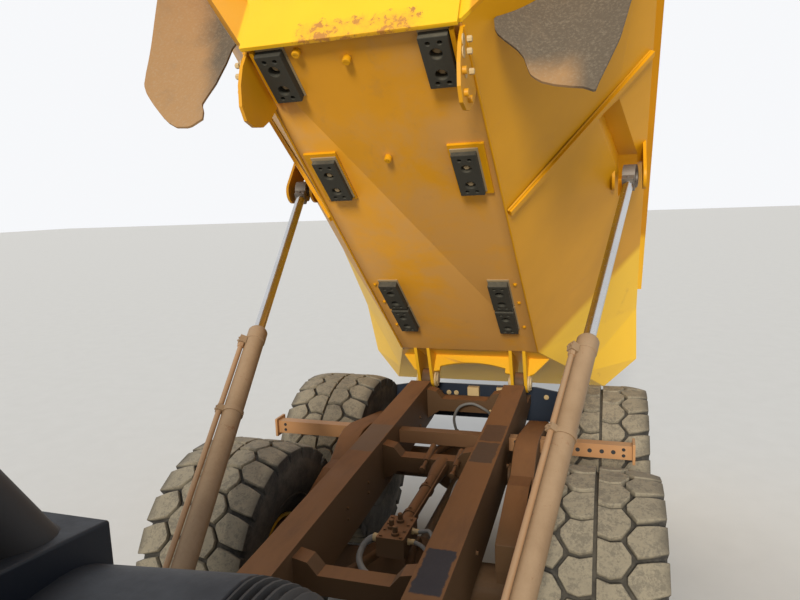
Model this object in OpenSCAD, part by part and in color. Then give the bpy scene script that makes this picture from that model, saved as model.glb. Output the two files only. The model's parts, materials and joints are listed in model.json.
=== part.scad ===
// Articulated dump truck with three axles, its bed held part of the way up.
// Lengths are in millimetres. Places along the truck are measured forward from the rear axle,
// y runs to the truck's left and z up from the ground; placed() then centres the whole truck.

/* [Wheels] */
// Diameter of a tyre as it stands
tyre_d = 1710; // [1560:5:1860]
// Width of a tyre
tyre_w = 780; // [640:5:820]
// Distance between the middles of a left and a right tyre
track = 2530; // [2440:5:2640]
// Distance between the middle and the rear axle
bogie_gap = 1980; // [1900:5:2120]
// Distance between the front and the middle axle
wheelbase = 4450; // [4350:5:4650]
// Distance from the articulation pin to the front axle
pin_to_axle = 1280; // [1240:5:1340]

/* [Bed] */
// Angle of the bed's floor above level as it stands
bed_rest = 39.5; // [30:0.5:45]
// Angle of the bed's floor below level when it lies on the frame
bed_low = 3; // [2:0.5:4]
// Place of the bed's hinge behind the rear axle
hinge_back = 382; // [300:5:450]
// Height of the bed's hinge
hinge_z = 1620; // [1580:5:1700]
// Length of the flat floor ahead of the hinge
floor_front = 4070; // [3900:10:4200]
// Place ahead of the hinge where the floor bends up to the tail
floor_bend = 410; // [350:5:500]
// Length of the tail behind the hinge
tail_back = 1320; // [1150:10:1450]
// Height of the floor's underside over the hinge
floor_h = 146; // [130:2:180]
// Height of the top edge of the sides over the hinge
side_top = 1640; // [1560:10:1760]
// Half width over the top rails
bed_half = 1665; // [1640:5:1720]
// Thickness of the bed's plates
bed_plate = 25; // [16:1:32]
// Thickness of a rubber pad under the bed
pad_thick = 60; // [40:2:62]

/* [Hoist] */
// Place of the cylinders' upper pins ahead of the bed's hinge, along its floor
top_pin_s = 1762; // [1700:2:1820]
// Height of the upper pins over the floor line through the hinge
top_pin_h = 1103; // [1080:2:1120]
// Half distance between the upper pins
top_pin_y = 1480; // [1470:2:1490]
// Place of the lower pins ahead of the rear axle
low_pin_x = 3896; // [3860:2:3930]
// Half distance between the lower pins
low_pin_y = 792; // [770:2:810]
// Height of the lower pins
low_pin_z = 955; // [930:5:980]
// Radius of a hoist barrel
hoist_r = 105; // [90:1:110]
// Radius of a hoist rod
hoist_rod_r = 50; // [40:1:60]

/* [Rear frame] */
// Half distance between the rails' inner faces
rail_in = 365; // [340:5:380]
// Width of a rail
rail_w = 200; // [170:5:220]
// Height of a rail behind the hoist
rail_h = 390; // [340:5:420]

/* [Front unit] */
// Length of the cab
cab_l = 1580; // [1500:10:1640]
// Half width of the cab
cab_half = 780; // [740:5:785]
// Height of the cab's floor
cab_z = 1800; // [1790:5:1850]
// Height of the cab from its floor to its roof
cab_h = 1820; // [1700:10:1900]
// Half width of the engine hood
hood_half = 740; // [700:5:760]
// Height of the hood's top at the cab
hood_top = 2620; // [2500:10:2700]
// Place of the bumper's face ahead of the front axle
nose = 2900; // [2850:10:3000]

/* [Hidden] */
$fn = 48;
WHEELS = [["fl", 2, 1], ["fr", 2, -1], ["ml", 1, 1], ["mr", 1, -1], ["rl", 0, 1], ["rr", 0, -1]];

// Clearances
run = 0.3;      // between a shaft and its bore, and between pieces that seat
clear = 6;      // between pieces that move past each other
cut = 20;       // how far a cutter runs past a face

// Places of the axles and pins
axle_xs = [0, bogie_gap, bogie_gap + wheelbase];
axle_z = tyre_d / 2;
front_x = axle_xs[2];
pin_x = front_x - pin_to_axle;
hinge_x = -hinge_back;
nose_x = front_x + nose;
lamp_t = 20;

// Bed sections: place, floor half width, floor height, chine half width, chine height,
// top half width, top height, rake of the section's line per unit of height
rail_top_w = 55;
wall_half = bed_half - rail_top_w;
tail_top_h = side_top - 190;
BED = [
    [floor_front, 620, floor_h, wall_half, 1430, wall_half, side_top, 0.12],
    [floor_bend, 676, floor_h, wall_half, 1385, wall_half, side_top, 0],
    [-tail_back * 0.47, 1030, floor_h + 264, wall_half, 1240, wall_half, side_top - 20, 0],
    [-tail_back, 1270, floor_h + 434, wall_half + 20, 955, wall_half + 20, tail_top_h, -0.02]
];
tail_s = BED[3][0] + BED[3][7] * (tail_top_h - BED[3][2]);
tail_x = hinge_x + tail_s * cos(bed_rest) - tail_top_h * sin(bed_rest);
x_mid = (nose_x + lamp_t + tail_x) / 2;

// Hoist geometry at rest
top_pin = [
    hinge_x + top_pin_s * cos(bed_rest) - top_pin_h * sin(bed_rest),
    top_pin_y,
    hinge_z + top_pin_s * sin(bed_rest) + top_pin_h * cos(bed_rest)
];
low_pin = [low_pin_x, low_pin_y, low_pin_z];
hoist_len = norm(top_pin - low_pin);
hoist_barrel = 2715;            // lower pin to gland
hoist_rod = 2950;               // upper pin to the rod's inner end
eye_r = 110;
eye_half = 55;
pin_r = 45;
lean = 5;                       // how far a barrel's bore widens, in degrees

// Height of the rails' top, which follows the pads of the lowered bed
pad_h = floor_h - pad_thick;
function rail_top(x) = hinge_z + (pad_h - (x - hinge_x) * sin(bed_low)) / cos(bed_low) - clear;

module placed() translate([-x_mid, 0, 0]) children();
module both_sides() { children(); mirror([0, 1, 0]) children(); }
module on_bed() placed() translate([hinge_x, 0, hinge_z]) rotate([0, -bed_rest, 0]) children();
module box(a, b) translate(a) cube(b - a);
// A bar along y from y0 to y1 at x, z
module rod_y(x, z, y0, y1, r) translate([x, y0, z]) rotate([-90, 0, 0]) cylinder(h = y1 - y0, r = r);
module rod_x(x0, x1, y, z, r) translate([x0, y, z]) rotate([0, 90, 0]) cylinder(h = x1 - x0, r = r);
// A side view, points in x and z, from y0 to y1
module side_plate(points, y0, y1) translate([0, y1, 0]) rotate([90, 0, 0])
    linear_extrude(y1 - y0) polygon(points);
// A front view, points in y and z, from x0 to x1
module front_plate(points, x0, x1) translate([x0, 0, 0]) rotate([90, 0, 90])
    linear_extrude(x1 - x0) polygon(points);
// A panel through four corners, thickened along v
module panel(a, b, c, d, v) {
    q = cross(b - a, d - a) * v > 0 ? [a, b, c, d] : [a, d, c, b];
    polyhedron(
        [each q, for (p = q) p + v],
        [[0, 1, 2], [0, 2, 3], [6, 5, 4], [7, 6, 4], [0, 4, 5], [0, 5, 1],
         [1, 5, 6], [1, 6, 2], [2, 6, 7], [2, 7, 3], [3, 7, 4], [3, 4, 0]]);
}
// Round bar between two points
module bar(a, b, r) {
    d = b - a;
    translate(a) rotate([0, acos(d[2] / norm(d)), atan2(d[1], d[0])]) cylinder(h = norm(d), r = r);
}
// Turns local x onto the line from a towards b, at a
module along(a, b) {
    d = b - a;
    translate(a) rotate([0, -asin(d[2] / norm(d)), atan2(d[1], d[0])]) children();
}

// Wheels
rim_r = 325;
rim_t = 25;
spindle_r = 130;
disc_y = 60;
hub_r = 205;
// Half of a tyre's section inside its lugs: radius, and half width as a share of the tyre's
TYRE_WALL = [[rim_r + run, 0.36], [rim_r + 190, 0.49], [tyre_d * 0.42, 0.5], [tyre_d * 0.45, 0.46]];

lug_h = 45;
lugs = 16;
// Each lug of a row: angle in pitches, and depth in lug heights
LUG = [[0, 0], [0.56, 0], [0.64, 1], [0.92, 1]];
module lug_row(turn) linear_extrude(0.47 * tyre_w) polygon([
    for (i = [0 : lugs - 1], p = LUG)
        (tyre_d / 2 - p[1] * lug_h) * [cos(turn + (i + p[0]) * 360 / lugs), sin(turn + (i + p[0]) * 360 / lugs)]
]);
// A ring with two rows of lugs, half a pitch apart
module tyre_ring() rotate([90, 0, 0]) {
    rotate_extrude($fn = 24) polygon([
        for (side = [1, -1], p = side > 0 ? TYRE_WALL : [for (i = [3 : -1 : 0]) TYRE_WALL[i]])
            [p[0], side * p[1] * tyre_w]
    ]);
    difference() {
        union() {
            lug_row(90);
            mirror([0, 0, 1]) lug_row(90 + 180 / lugs);
        }
        cylinder(h = tyre_w, r = tyre_d * 0.4, center = true, $fn = 24);
    }
}

module tyre(w) color("#3b3833") placed()
    translate([axle_xs[w[1]], w[2] * track / 2, axle_z]) tyre_ring();

module rim_body() difference() {
    rotate([-90, 0, 0]) rotate_extrude($fn = 24) polygon([
        [rim_r, -0.36 * tyre_w], [rim_r, 0.36 * tyre_w], [rim_r - rim_t, 0.36 * tyre_w],
        [rim_r - rim_t, disc_y + 40], [hub_r + 30, disc_y + 40], [hub_r, disc_y + 90],
        [hub_r - 20, disc_y + 190], [hub_r - 60, disc_y + 230], [0, disc_y + 240],
        [0, disc_y], [rim_r - rim_t, disc_y], [rim_r - rim_t, -0.36 * tyre_w]
    ]);
    rod_y(0, 0, disc_y - cut, disc_y + 120, spindle_r + run);
}

module rim(w) color("#e0a21b") placed()
    translate([axle_xs[w[1]], w[2] * track / 2, axle_z])
        mirror([0, w[2] > 0 ? 0 : 1, 0]) rim_body();

// Axle housing with its final drives and spindles
tube_r = 150;
drum_y = track / 2 - tyre_w / 2 - 55;
diff_r = 265;
module axle(x) {
    rod_y(x, axle_z, -drum_y, drum_y, tube_r);
    translate([x, 0, axle_z]) rotate([-90, 0, 0]) rotate_extrude() polygon([
        [0, -330], [tube_r + 10, -330], [diff_r - 30, -200], [diff_r, -80], [diff_r, 80], [diff_r - 30, 200],
        [tube_r + 10, 330], [0, 330]
    ]);
    both_sides() {
        rod_y(x, axle_z, drum_y, track / 2 + disc_y - 40, rim_r - rim_t - 40);
        rod_y(x, axle_z, drum_y, track / 2 + disc_y + 120 - run, spindle_r);
    }
}

// Front unit
rail_z0 = 1020;
ear_t = 60;
ear_top = 1390;
rail_z1 = ear_top - ear_t;
front_rail_y = [362, 462];
engine_half = 340;
rear_member_x = pin_x + 200;
plate_x1 = pin_x + 970;
web_y = 130;
rail_x0 = pin_x + 330;
ear_r = 150;
ear_low = 710;
hitch_pin_r = 60;
cab_x0 = front_x - 810;
cab_x1 = cab_x0 + cab_l;
deck_x0 = pin_x - 220;
deck_x1 = cab_x0 - 60;
deck_z = [1950, 2640];
beam_z0 = cab_z - 120;
cab_beam_x = [cab_x0 + 180, cab_x1 - 200];
engine_foot_x = [front_x + 1100, front_x + 1900];
fender_gap = 90;                // between a tyre and the deck over it
fender_z = tyre_d + fender_gap;
fender_y = [cab_half + 10, bed_half - 15];
fender_x = [front_x - tyre_d / 2 - 75, front_x + tyre_d / 2 + 75];
step_x1 = fender_x[1] + 640;
fender_t = 60;
bumper_x = nose_x - 380;

// Plan of the plates that hold the hitch pin
module ear_plate() linear_extrude(ear_t) difference() {
    union() {
        circle(r = ear_r);
        polygon([
            [0, -ear_r], [550, -front_rail_y[1]], [plate_x1 - pin_x, -front_rail_y[1]],
            [plate_x1 - pin_x, front_rail_y[1]], [550, front_rail_y[1]], [0, ear_r]
        ]);
    }
    circle(r = hitch_pin_r + run);
}
module hitch_ears() color("#35322e") placed()
    for (z = [ear_low, ear_top - ear_t]) translate([pin_x, 0, z]) ear_plate();

module front_frame() color("#35322e") placed() {
    // web between the ears, and the front pins of the steering cylinders
    box([rear_member_x, -web_y, ear_low + ear_t], [plate_x1, web_y, rail_z1]);
    both_sides() {
        translate([steer_front[0], steer_front[1], ear_low + ear_t])
            cylinder(h = rail_z1 - ear_low - ear_t, r = steer_pin_r);
        box([rail_x0, front_rail_y[0], rail_z0], [bumper_x, front_rail_y[1], rail_z1]);
        // posts under the cab's beams and the deck
        for (x = cab_beam_x)
            box([x, front_rail_y[0], x < plate_x1 ? ear_top : rail_z1 - 1], [x + 130, front_rail_y[1], beam_z0 + 1]);
        box([deck_x1 - 130, front_rail_y[0] + 20, rail_z1 - 1], [deck_x1 - 10, front_rail_y[1], deck_z[0]]);
        // outriggers under the fenders
        for (x = cab_beam_x) box([x, cab_half + 4, beam_z0], [x + 130, cab_half + 55, fender_z]);
        // feet of the engine
        for (x = engine_foot_x)
            box([x, engine_half + run, rail_z0 + 60], [x + 140, front_rail_y[0] + 1, rail_z0 + 140]);
    }
    box([bumper_x - 120, -front_rail_y[1], rail_z0], [bumper_x, front_rail_y[1], rail_z1]);
    for (x = cab_beam_x) box([x, -cab_half - 5, beam_z0], [x + 130, cab_half + 5, cab_z]);
    // rest for the back of the hood
    box([hood_x0 + 80, -hood_half + 5, rail_z1 - 1], [hood_x0 + 150, hood_half - 5, hood_z0 - run]);
}

bumper_half = 1180;
bumper_z = [720, 1200];
tow_r = 25;
tow_back = 80;
hood_axis = [nose_x - 180, 1395];
hood_lug_y = 600;
module front_bumper() color("#e5a41a") placed() difference() {
    union() {
        side_plate([
            [bumper_x, bumper_z[0]], [bumper_x + 120, bumper_z[0]], [nose_x - 130, bumper_z[0] + 60],
            [nose_x - 40, bumper_z[0] + 60], [nose_x, bumper_z[0] + 110], [nose_x, 1140],
            [nose_x - 40, bumper_z[1]], [bumper_x, bumper_z[1]]
        ], -bumper_half, bumper_half);
        // lugs that carry the hood's hinge
        both_sides() {
            side_plate([
                [bumper_x + 20, bumper_z[1] - 1], [bumper_x + 110, bumper_z[1] - 1],
                [hood_axis[0] + 34, hood_axis[1]], [hood_axis[0] - 34, hood_axis[1]]
            ], hood_lug_y, hood_lug_y + 30);
            rod_y(hood_axis[0], hood_axis[1], hood_lug_y, hood_lug_y + 30, 35);
        }
    }
    // slot and pin hole for a tow bar
    box([nose_x - 170, -95, 950], [nose_x + cut, 95, 1060]);
    translate([nose_x - tow_back, 0, bumper_z[0] - cut]) cylinder(h = bumper_z[1], r = tow_r);
    rod_y(hood_axis[0], hood_axis[1], -1000, 1000, 20 + run);
}

module head_lamps() color("#f2efe2") placed() both_sides() {
    rod_x(nose_x, nose_x + lamp_t, 930, 1010, 85);
    rod_x(nose_x, nose_x + lamp_t, 720, 1010, 70);
    // work lamps under the brow of the roof
    rod_x(cab_x1 - screen_rake + brow, cab_x1 - screen_rake + brow + 45, 560, roof_z + 32, 30);
}

module engine_block() color("#5a5a55") placed()
    box([front_x + 1000, -engine_half, 950], [bumper_x - 160, engine_half, 1950]);

module front_axle() color("#3a3733") placed() {
    axle(front_x);
    both_sides() box([front_x - 110, front_rail_y[0] - 20, axle_z + 60], [front_x + 110, front_rail_y[1] + 20, rail_z0]);
}

module front_fenders() color("#e5a41a") placed() both_sides() {
    box([fender_x[0], fender_y[0], fender_z], [step_x1, fender_y[1], fender_z + fender_t]);
    side_plate([
        [fender_x[0], fender_z + 1], [fender_x[0] - 90, axle_z + 565], [fender_x[0] - 60, axle_z + 555], [fender_x[0] + 40, fender_z + 1]
    ], fender_y[0] + 100, fender_y[1]);
    side_plate([
        [fender_x[1] - 40, fender_z + 1], [fender_x[1] + 170, axle_z + 325], [fender_x[1] + 205, axle_z + 335], [fender_x[1], fender_z + 1]
    ], fender_y[0] + 100, fender_y[1]);
}

module access_ladders() color("#35322e") placed() both_sides() {
    for (y = [fender_y[1] - 480, fender_y[1] - 40])
        side_plate([
            [fender_x[1] + 290, 560], [fender_x[1] + 420, 560], [step_x1 - 60, fender_z], [fender_x[1] + 330, fender_z]
        ], y, y + 20);
    for (i = [0 : 3])
        box([fender_x[1] + 300 + i * 20, fender_y[1] - 461, 600 + i * 300],
            [fender_x[1] + 430 + i * 20, fender_y[1] - 39, 640 + i * 300]);
}

rail_tube = 21;
module handrails() color("#35322e") placed() both_sides() {
    y = fender_y[1] - 45;
    for (x = [fender_x[1] + 60, step_x1 - 60])
        bar([x, y, fender_z + fender_t], [x, y, fender_z + 1100], rail_tube);
    for (z = [fender_z + 560, fender_z + 1080])
        bar([fender_x[1] + 60, y, z], [step_x1 - 60, y, z], rail_tube);
    for (x = [fender_x[0] + 60, fender_x[0] + 460])
        bar([x, y, fender_z + fender_t], [x, y, fender_z + 1000], rail_tube);
    bar([fender_x[0] + 60, y, fender_z + 980], [fender_x[0] + 460, y, fender_z + 980], rail_tube);
}

module mirrors() color("#2b2b2b") placed() both_sides() {
    x = fender_x[1] + 60;
    y = fender_y[1] - 45;
    bar([x, y, fender_z + 1101 + run], [x, y, fender_z + 1170], 22);
    bar([x, y, fender_z + 1150], [x + 120, y - 40, fender_z + 1500], 16);
    box([x + 80, y - 150, fender_z + 1190], [x + 140, y + 40, fender_z + 1560]);
}

// Cab
cab_wall = 60;
roof_r = 130;
screen_rake = 240;
module cab_side_form(t) {
    x0 = cab_x0 + t;
    x1 = cab_x1 - t;
    z0 = cab_z + t;
    z1 = cab_z + cab_h - t;
    side_plate([
        [x0, z0], [x1, z0], [x1, cab_z + 720], [x1 - screen_rake, z1 - 60], [x1 - screen_rake - 60, z1],
        [x0 + 80, z1], [x0, z1 - 80]
    ], -cab_half - cut, cab_half + cut);
}
module cab_form(t) intersection() {
    cab_side_form(t);
    front_plate([
        [-cab_half + t, cab_z + t], [cab_half - t, cab_z + t], [cab_half - t, cab_z + cab_h - roof_r],
        [cab_half - roof_r, cab_z + cab_h - t], [-cab_half + roof_r, cab_z + cab_h - t],
        [-cab_half + t, cab_z + cab_h - roof_r]
    ], cab_x0 - cut, cab_x1 + cut);
}
door_x = [cab_x0 + 420, cab_x0 + 1290];
door_z = [cab_z + 70, cab_z + 1640];
pane_z = [cab_z + 790, cab_z + 1580];
hinge_out = 18;
roof_z = cab_z + cab_h - 90;
roof_t = 120;
// The openings for panes: front, rear, right side and the left rear quarter
module pane_cutters() {
    box([cab_x1 - 420, -cab_half + 110, cab_z + 800], [cab_x1 + cut, cab_half - 110, cab_z + 1620]);
    box([cab_x0 - cut, -cab_half + 120, pane_z[0]], [cab_x0 + 90, cab_half - 120, pane_z[1]]);
    box([cab_x0 + 130, -cab_half - cut, pane_z[0]], [door_x[0] - 70, -cab_half + 100, pane_z[1]]);
    box([door_x[0], -cab_half - cut, pane_z[0] - 200], [door_x[1] - 40, -cab_half + 100, pane_z[1]]);
    box([cab_x0 + 130, cab_half - 100, pane_z[0]], [door_x[0] - 70, cab_half + cut, pane_z[1]]);
}
module cab_shell() color("#e5a41a") placed() {
    difference() {
        cab_form(0);
        cab_form(cab_wall);
        pane_cutters();
        box([door_x[0] - clear, cab_half - 100, door_z[0] - clear], [door_x[1] + clear, cab_half + cut, door_z[1] + clear]);
    }
    cab_roof();
    for (z = [door_z[0] + 250, door_z[1] - 300]) {
        translate([door_x[1] + 20, cab_half + hinge_out, z]) cylinder(h = 60, r = hinge_out);
        box([door_x[1] + 12, cab_half - 1, z], [door_x[1] + 38, cab_half + hinge_out, z + 60]);
    }
}
// Roof slab that runs out over the panes
brow = 140;
module cab_roof() intersection() {
    side_plate([
        [cab_x0 - 30, roof_z], [cab_x1 - screen_rake + brow, roof_z], [cab_x1 - screen_rake + brow, roof_z + 60],
        [cab_x1 - screen_rake + brow - 60, roof_z + roof_t], [cab_x0 + 60, roof_z + roof_t], [cab_x0 - 30, roof_z + 60]
    ], -cab_half - cut, cab_half + cut);
    front_plate([
        [-cab_half - 5, roof_z], [cab_half + 5, roof_z], [cab_half + 5, roof_z + 40], [cab_half - 70, roof_z + roof_t],
        [-cab_half + 70, roof_z + roof_t], [-cab_half - 5, roof_z + 40]
    ], cab_x0 - brow, cab_x1 + brow);
}
module cab_glass() color("#7e93a0", 0.5) placed() intersection() {
    difference() {
        cab_form(20);
        cab_form(28);
    }
    pane_cutters();
}
module door_pane() box([door_x[0] + 90, cab_half - 100, pane_z[0] - 150], [door_x[1] - 90, cab_half + cut, pane_z[1] - 20]);
module cab_door() color("#e5a41a") placed() {
    difference() {
        box([door_x[0], cab_half - cab_wall, door_z[0]], [door_x[1], cab_half, door_z[1]]);
        door_pane();
    }
    for (z = [door_z[0] + 310 + run, door_z[1] - 240 + run]) {
        translate([door_x[1] + 20, cab_half + hinge_out, z]) cylinder(h = 60, r = hinge_out);
        box([door_x[1] - 40, cab_half - 1, z], [door_x[1] - 10, cab_half + hinge_out, z + 60]);
        box([door_x[1] - 11, cab_half + clear, z], [door_x[1] + 20, cab_half + hinge_out, z + 60]);
    }
    // door handle
    box([door_x[0] + 40, cab_half - 1, cab_z + 480], [door_x[0] + 70, cab_half + 35, cab_z + 640]);
}
module door_glass() color("#7e93a0", 0.5) placed() intersection() {
    door_pane();
    box([door_x[0], cab_half - 28, door_z[0]], [door_x[1], cab_half - 20, door_z[1]]);
}
module cab_interior() color("#2b2b2b") placed() {
    z = cab_z + cab_wall;
    box([cab_x0 + 420, -180, z], [cab_x0 + 760, 180, z + 320]);
    box([cab_x0 + 360, -260, z + 320], [cab_x0 + 880, 260, z + 440]);
    side_plate([
        [cab_x0 + 360, z + 439], [cab_x0 + 480, z + 439], [cab_x0 + 360, z + 1100], [cab_x0 + 260, z + 1080]
    ], -240, 240);
    // dash and steering wheel
    side_plate([
        [cab_x1 - 360, z], [cab_x1 - 70, z], [cab_x1 - 70, z + 640], [cab_x1 - 300, z + 700]
    ], -600, 600);
    bar([cab_x1 - 300, 0, z + 560], [cab_x1 - 480, 0, z + 720], 25);
    translate([cab_x1 - 480, 0, z + 720]) rotate([0, -48, 0]) rotate_extrude() translate([210, 0]) circle(r = 15, $fn = 16);
    translate([cab_x1 - 480, 0, z + 720]) rotate([0, -48, 0]) for (a = [0, 120, 240]) rotate([0, 0, a])
        translate([0, -12, -6]) cube([205, 24, 12]);
}

// Dark tank and box behind the cab
deck_round = 90;
module rear_deck() color("#22262d") placed() {
    hull_x = [deck_x0 + deck_round, deck_x1 - deck_round];
    side_plate([
        [deck_x0, deck_z[0]], [deck_x1, deck_z[0]], each arc([hull_x[1], deck_z[1] - deck_round], deck_round, 0, 90, 4),
        each arc([hull_x[0], deck_z[1] - deck_round], deck_round, 90, 180, 4)
    ], -1040, 740);
    box([deck_x0 + 80, -640, deck_z[1] - 1], [deck_x0 + 330, -260, deck_z[1] + 110]);
    translate([deck_x0 + 190, 590, deck_z[1] - 1]) {
        cylinder(h = 40, r = 82);
        for (a = [0 : 30 : 330]) rotate(a) translate([70, -9, 0]) cube([20, 18, 62]);
        cylinder(h = 62, r = 74);
    }
    translate([deck_x0 + 250, -820, deck_z[1] - 1]) {
        cylinder(h = 330, r = 60);
        cylinder(h = 36, r = 95);
    }
}

module exhaust_stack() color("#6a6459") placed() {
    x = cab_x1 + 250;
    translate([x, -cab_half - 250, fender_z + fender_t]) {
        cylinder(h = 60, r = 90);
        cylinder(h = 1500, r = 60);
        translate([0, 0, 300]) cylinder(h = 800, r = 130);
    }
}

// Hood
hood_x0 = cab_x1 + 60;
hood_x1 = nose_x - 40;
hood_z0 = rail_z1 + 20;
hood_nose = 2180;
module hood_form(t) intersection() {
    side_plate([
        [hood_x0 - (t > 0 ? cut : 0), hood_z0 - (t > 0 ? cut : 0)], [hood_x1 - t, hood_z0 - (t > 0 ? cut : 0)],
        [hood_x1 - t, hood_nose - 200], [hood_x1 - 60 - t, hood_nose - 60], [hood_x1 - 240 - t, hood_nose - t],
        [hood_x0 - (t > 0 ? cut : 0), hood_top - t]
    ], -hood_half, hood_half);
    front_plate([
        [-hood_half + t, hood_z0 - cut], [hood_half - t, hood_z0 - cut], [hood_half - t, hood_top - 380],
        [hood_half - 180, hood_top + cut - t], [-hood_half + 180, hood_top + cut - t], [-hood_half + t, hood_top - 380]
    ], hood_x0 - cut, hood_x1 + cut);
}
grille_y = 520;
grille_z = [hood_z0 + 160, hood_nose - 260];
module engine_hood() color("#e5a41a") placed() {
    rod_y(hood_axis[0], hood_axis[1], -hood_half + 20, hood_half - 20, 20);
    hood_shell();
}
module hood_shell() difference() {
    hood_form(0);
    hood_form(30);
    box([hood_x1 - 60, -grille_y, grille_z[0]], [hood_x1 + cut, grille_y, grille_z[1]]);
    both_sides() for (i = [0 : 4])
        box([hood_x0 + 500 + i * 110, hood_half - 60, hood_z0 + 380], [hood_x0 + 560 + i * 110, hood_half + cut, hood_z0 + 700]);
}
module hood_grille() color("#2b2b2b") placed() {
    difference() {
        box([hood_x1 - 28, -grille_y, grille_z[0]], [hood_x1 - 2, grille_y, grille_z[1]]);
        box([hood_x1 - 60, -grille_y + 30, grille_z[0] + 30], [hood_x1 + cut, grille_y - 30, grille_z[1] - 30]);
    }
    pitch = (grille_z[1] - grille_z[0] - 60) / 8;
    for (i = [1 : 7])
        box([hood_x1 - 26, -grille_y + 29, grille_z[0] + 24 + i * pitch], [hood_x1 - 6, grille_y - 29, grille_z[0] + 36 + i * pitch]);
}

// Hitch: a yoke on a vertical pin, and the tube that the rear unit turns on
osc_z = 1050;
osc_r = 130;
collar_x = [pin_x - 690, pin_x - 230];
steer_z = osc_z;
steer_front = [pin_x + 900, 240, steer_z];
steer_rear = [pin_x - 60, 300, steer_z];
steer_pin_r = 25;
steer_eye_r = 50;
steer_eye_half = 28;
steer_r = 48;
steer_rod_r = 26;
steer_len = norm(steer_rear - steer_front);
steer_barrel_l = 600;
steer_rod_l = 660;
arm_t = 45;
arm_w = 55;
module hitch_yoke() color("#4a4038") placed() {
    translate([pin_x, 0, ear_low + ear_t + clear]) cylinder(h = ear_top - ear_low - 2 * ear_t - 2 * clear, r = 120);
    translate([pin_x, 0, ear_low]) cylinder(h = ear_top - ear_low, r = hitch_pin_r);
    rod_x(collar_x[0] - 40, pin_x, 0, osc_z, osc_r);
    rod_x(collar_x[0] - 60, collar_x[0] - run, 0, osc_z, osc_r + 40);
    rod_x(collar_x[1] + run, collar_x[1] + 40, 0, osc_z, osc_r + 40);
    // arms that the steering cylinders push
    both_sides() for (z = [steer_z - steer_eye_half - clear - arm_t, steer_z + steer_eye_half + clear]) {
        translate([steer_rear[0], steer_rear[1], z]) cylinder(h = arm_t, r = arm_w);
        translate([pin_x, 0, z]) rotate([0, 0, atan2(steer_rear[1], steer_rear[0] - pin_x)])
            translate([0, 5 - arm_w, 0]) cube([norm([steer_rear[0] - pin_x, steer_rear[1]]), 2 * arm_w - 10, arm_t]);
    }
}
module steer_barrel() difference() {
    union() {
        translate(steer_front - [0, 0, 2 * steer_eye_half]) cylinder(h = 4 * steer_eye_half, r = steer_eye_r + 5);
        along(steer_front, steer_rear) rod_x(20, steer_barrel_l, 0, 0, steer_r);
    }
    translate(steer_front - [0, 0, 3 * steer_eye_half]) cylinder(h = 6 * steer_eye_half, r = steer_pin_r + run);
    along(steer_front, steer_rear) {
        rod_x(62, steer_barrel_l - 40, 0, 0, steer_r - 12);
        rod_x(steer_barrel_l - 41, steer_barrel_l + cut, 0, 0, steer_rod_r + run);
    }
}
module steer_rod() {
    translate(steer_rear - [0, 0, steer_eye_half]) cylinder(h = 2 * steer_eye_half, r = steer_eye_r);
    along(steer_front, steer_rear) {
        rod_x(steer_len - steer_rod_l, steer_len - 20, 0, 0, steer_rod_r);
        rod_x(steer_len - steer_rod_l, steer_len - steer_rod_l + 40, 0, 0, steer_r - 12 - run);
    }
}
module steer_barrel_left() color("#3a3733") placed() steer_barrel();
module steer_barrel_right() color("#3a3733") placed() mirror([0, 1, 0]) steer_barrel();
module steer_rod_left() color("#c9ccd0") placed() steer_rod();
module steer_rod_right() color("#c9ccd0") placed() mirror([0, 1, 0]) steer_rod();

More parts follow.
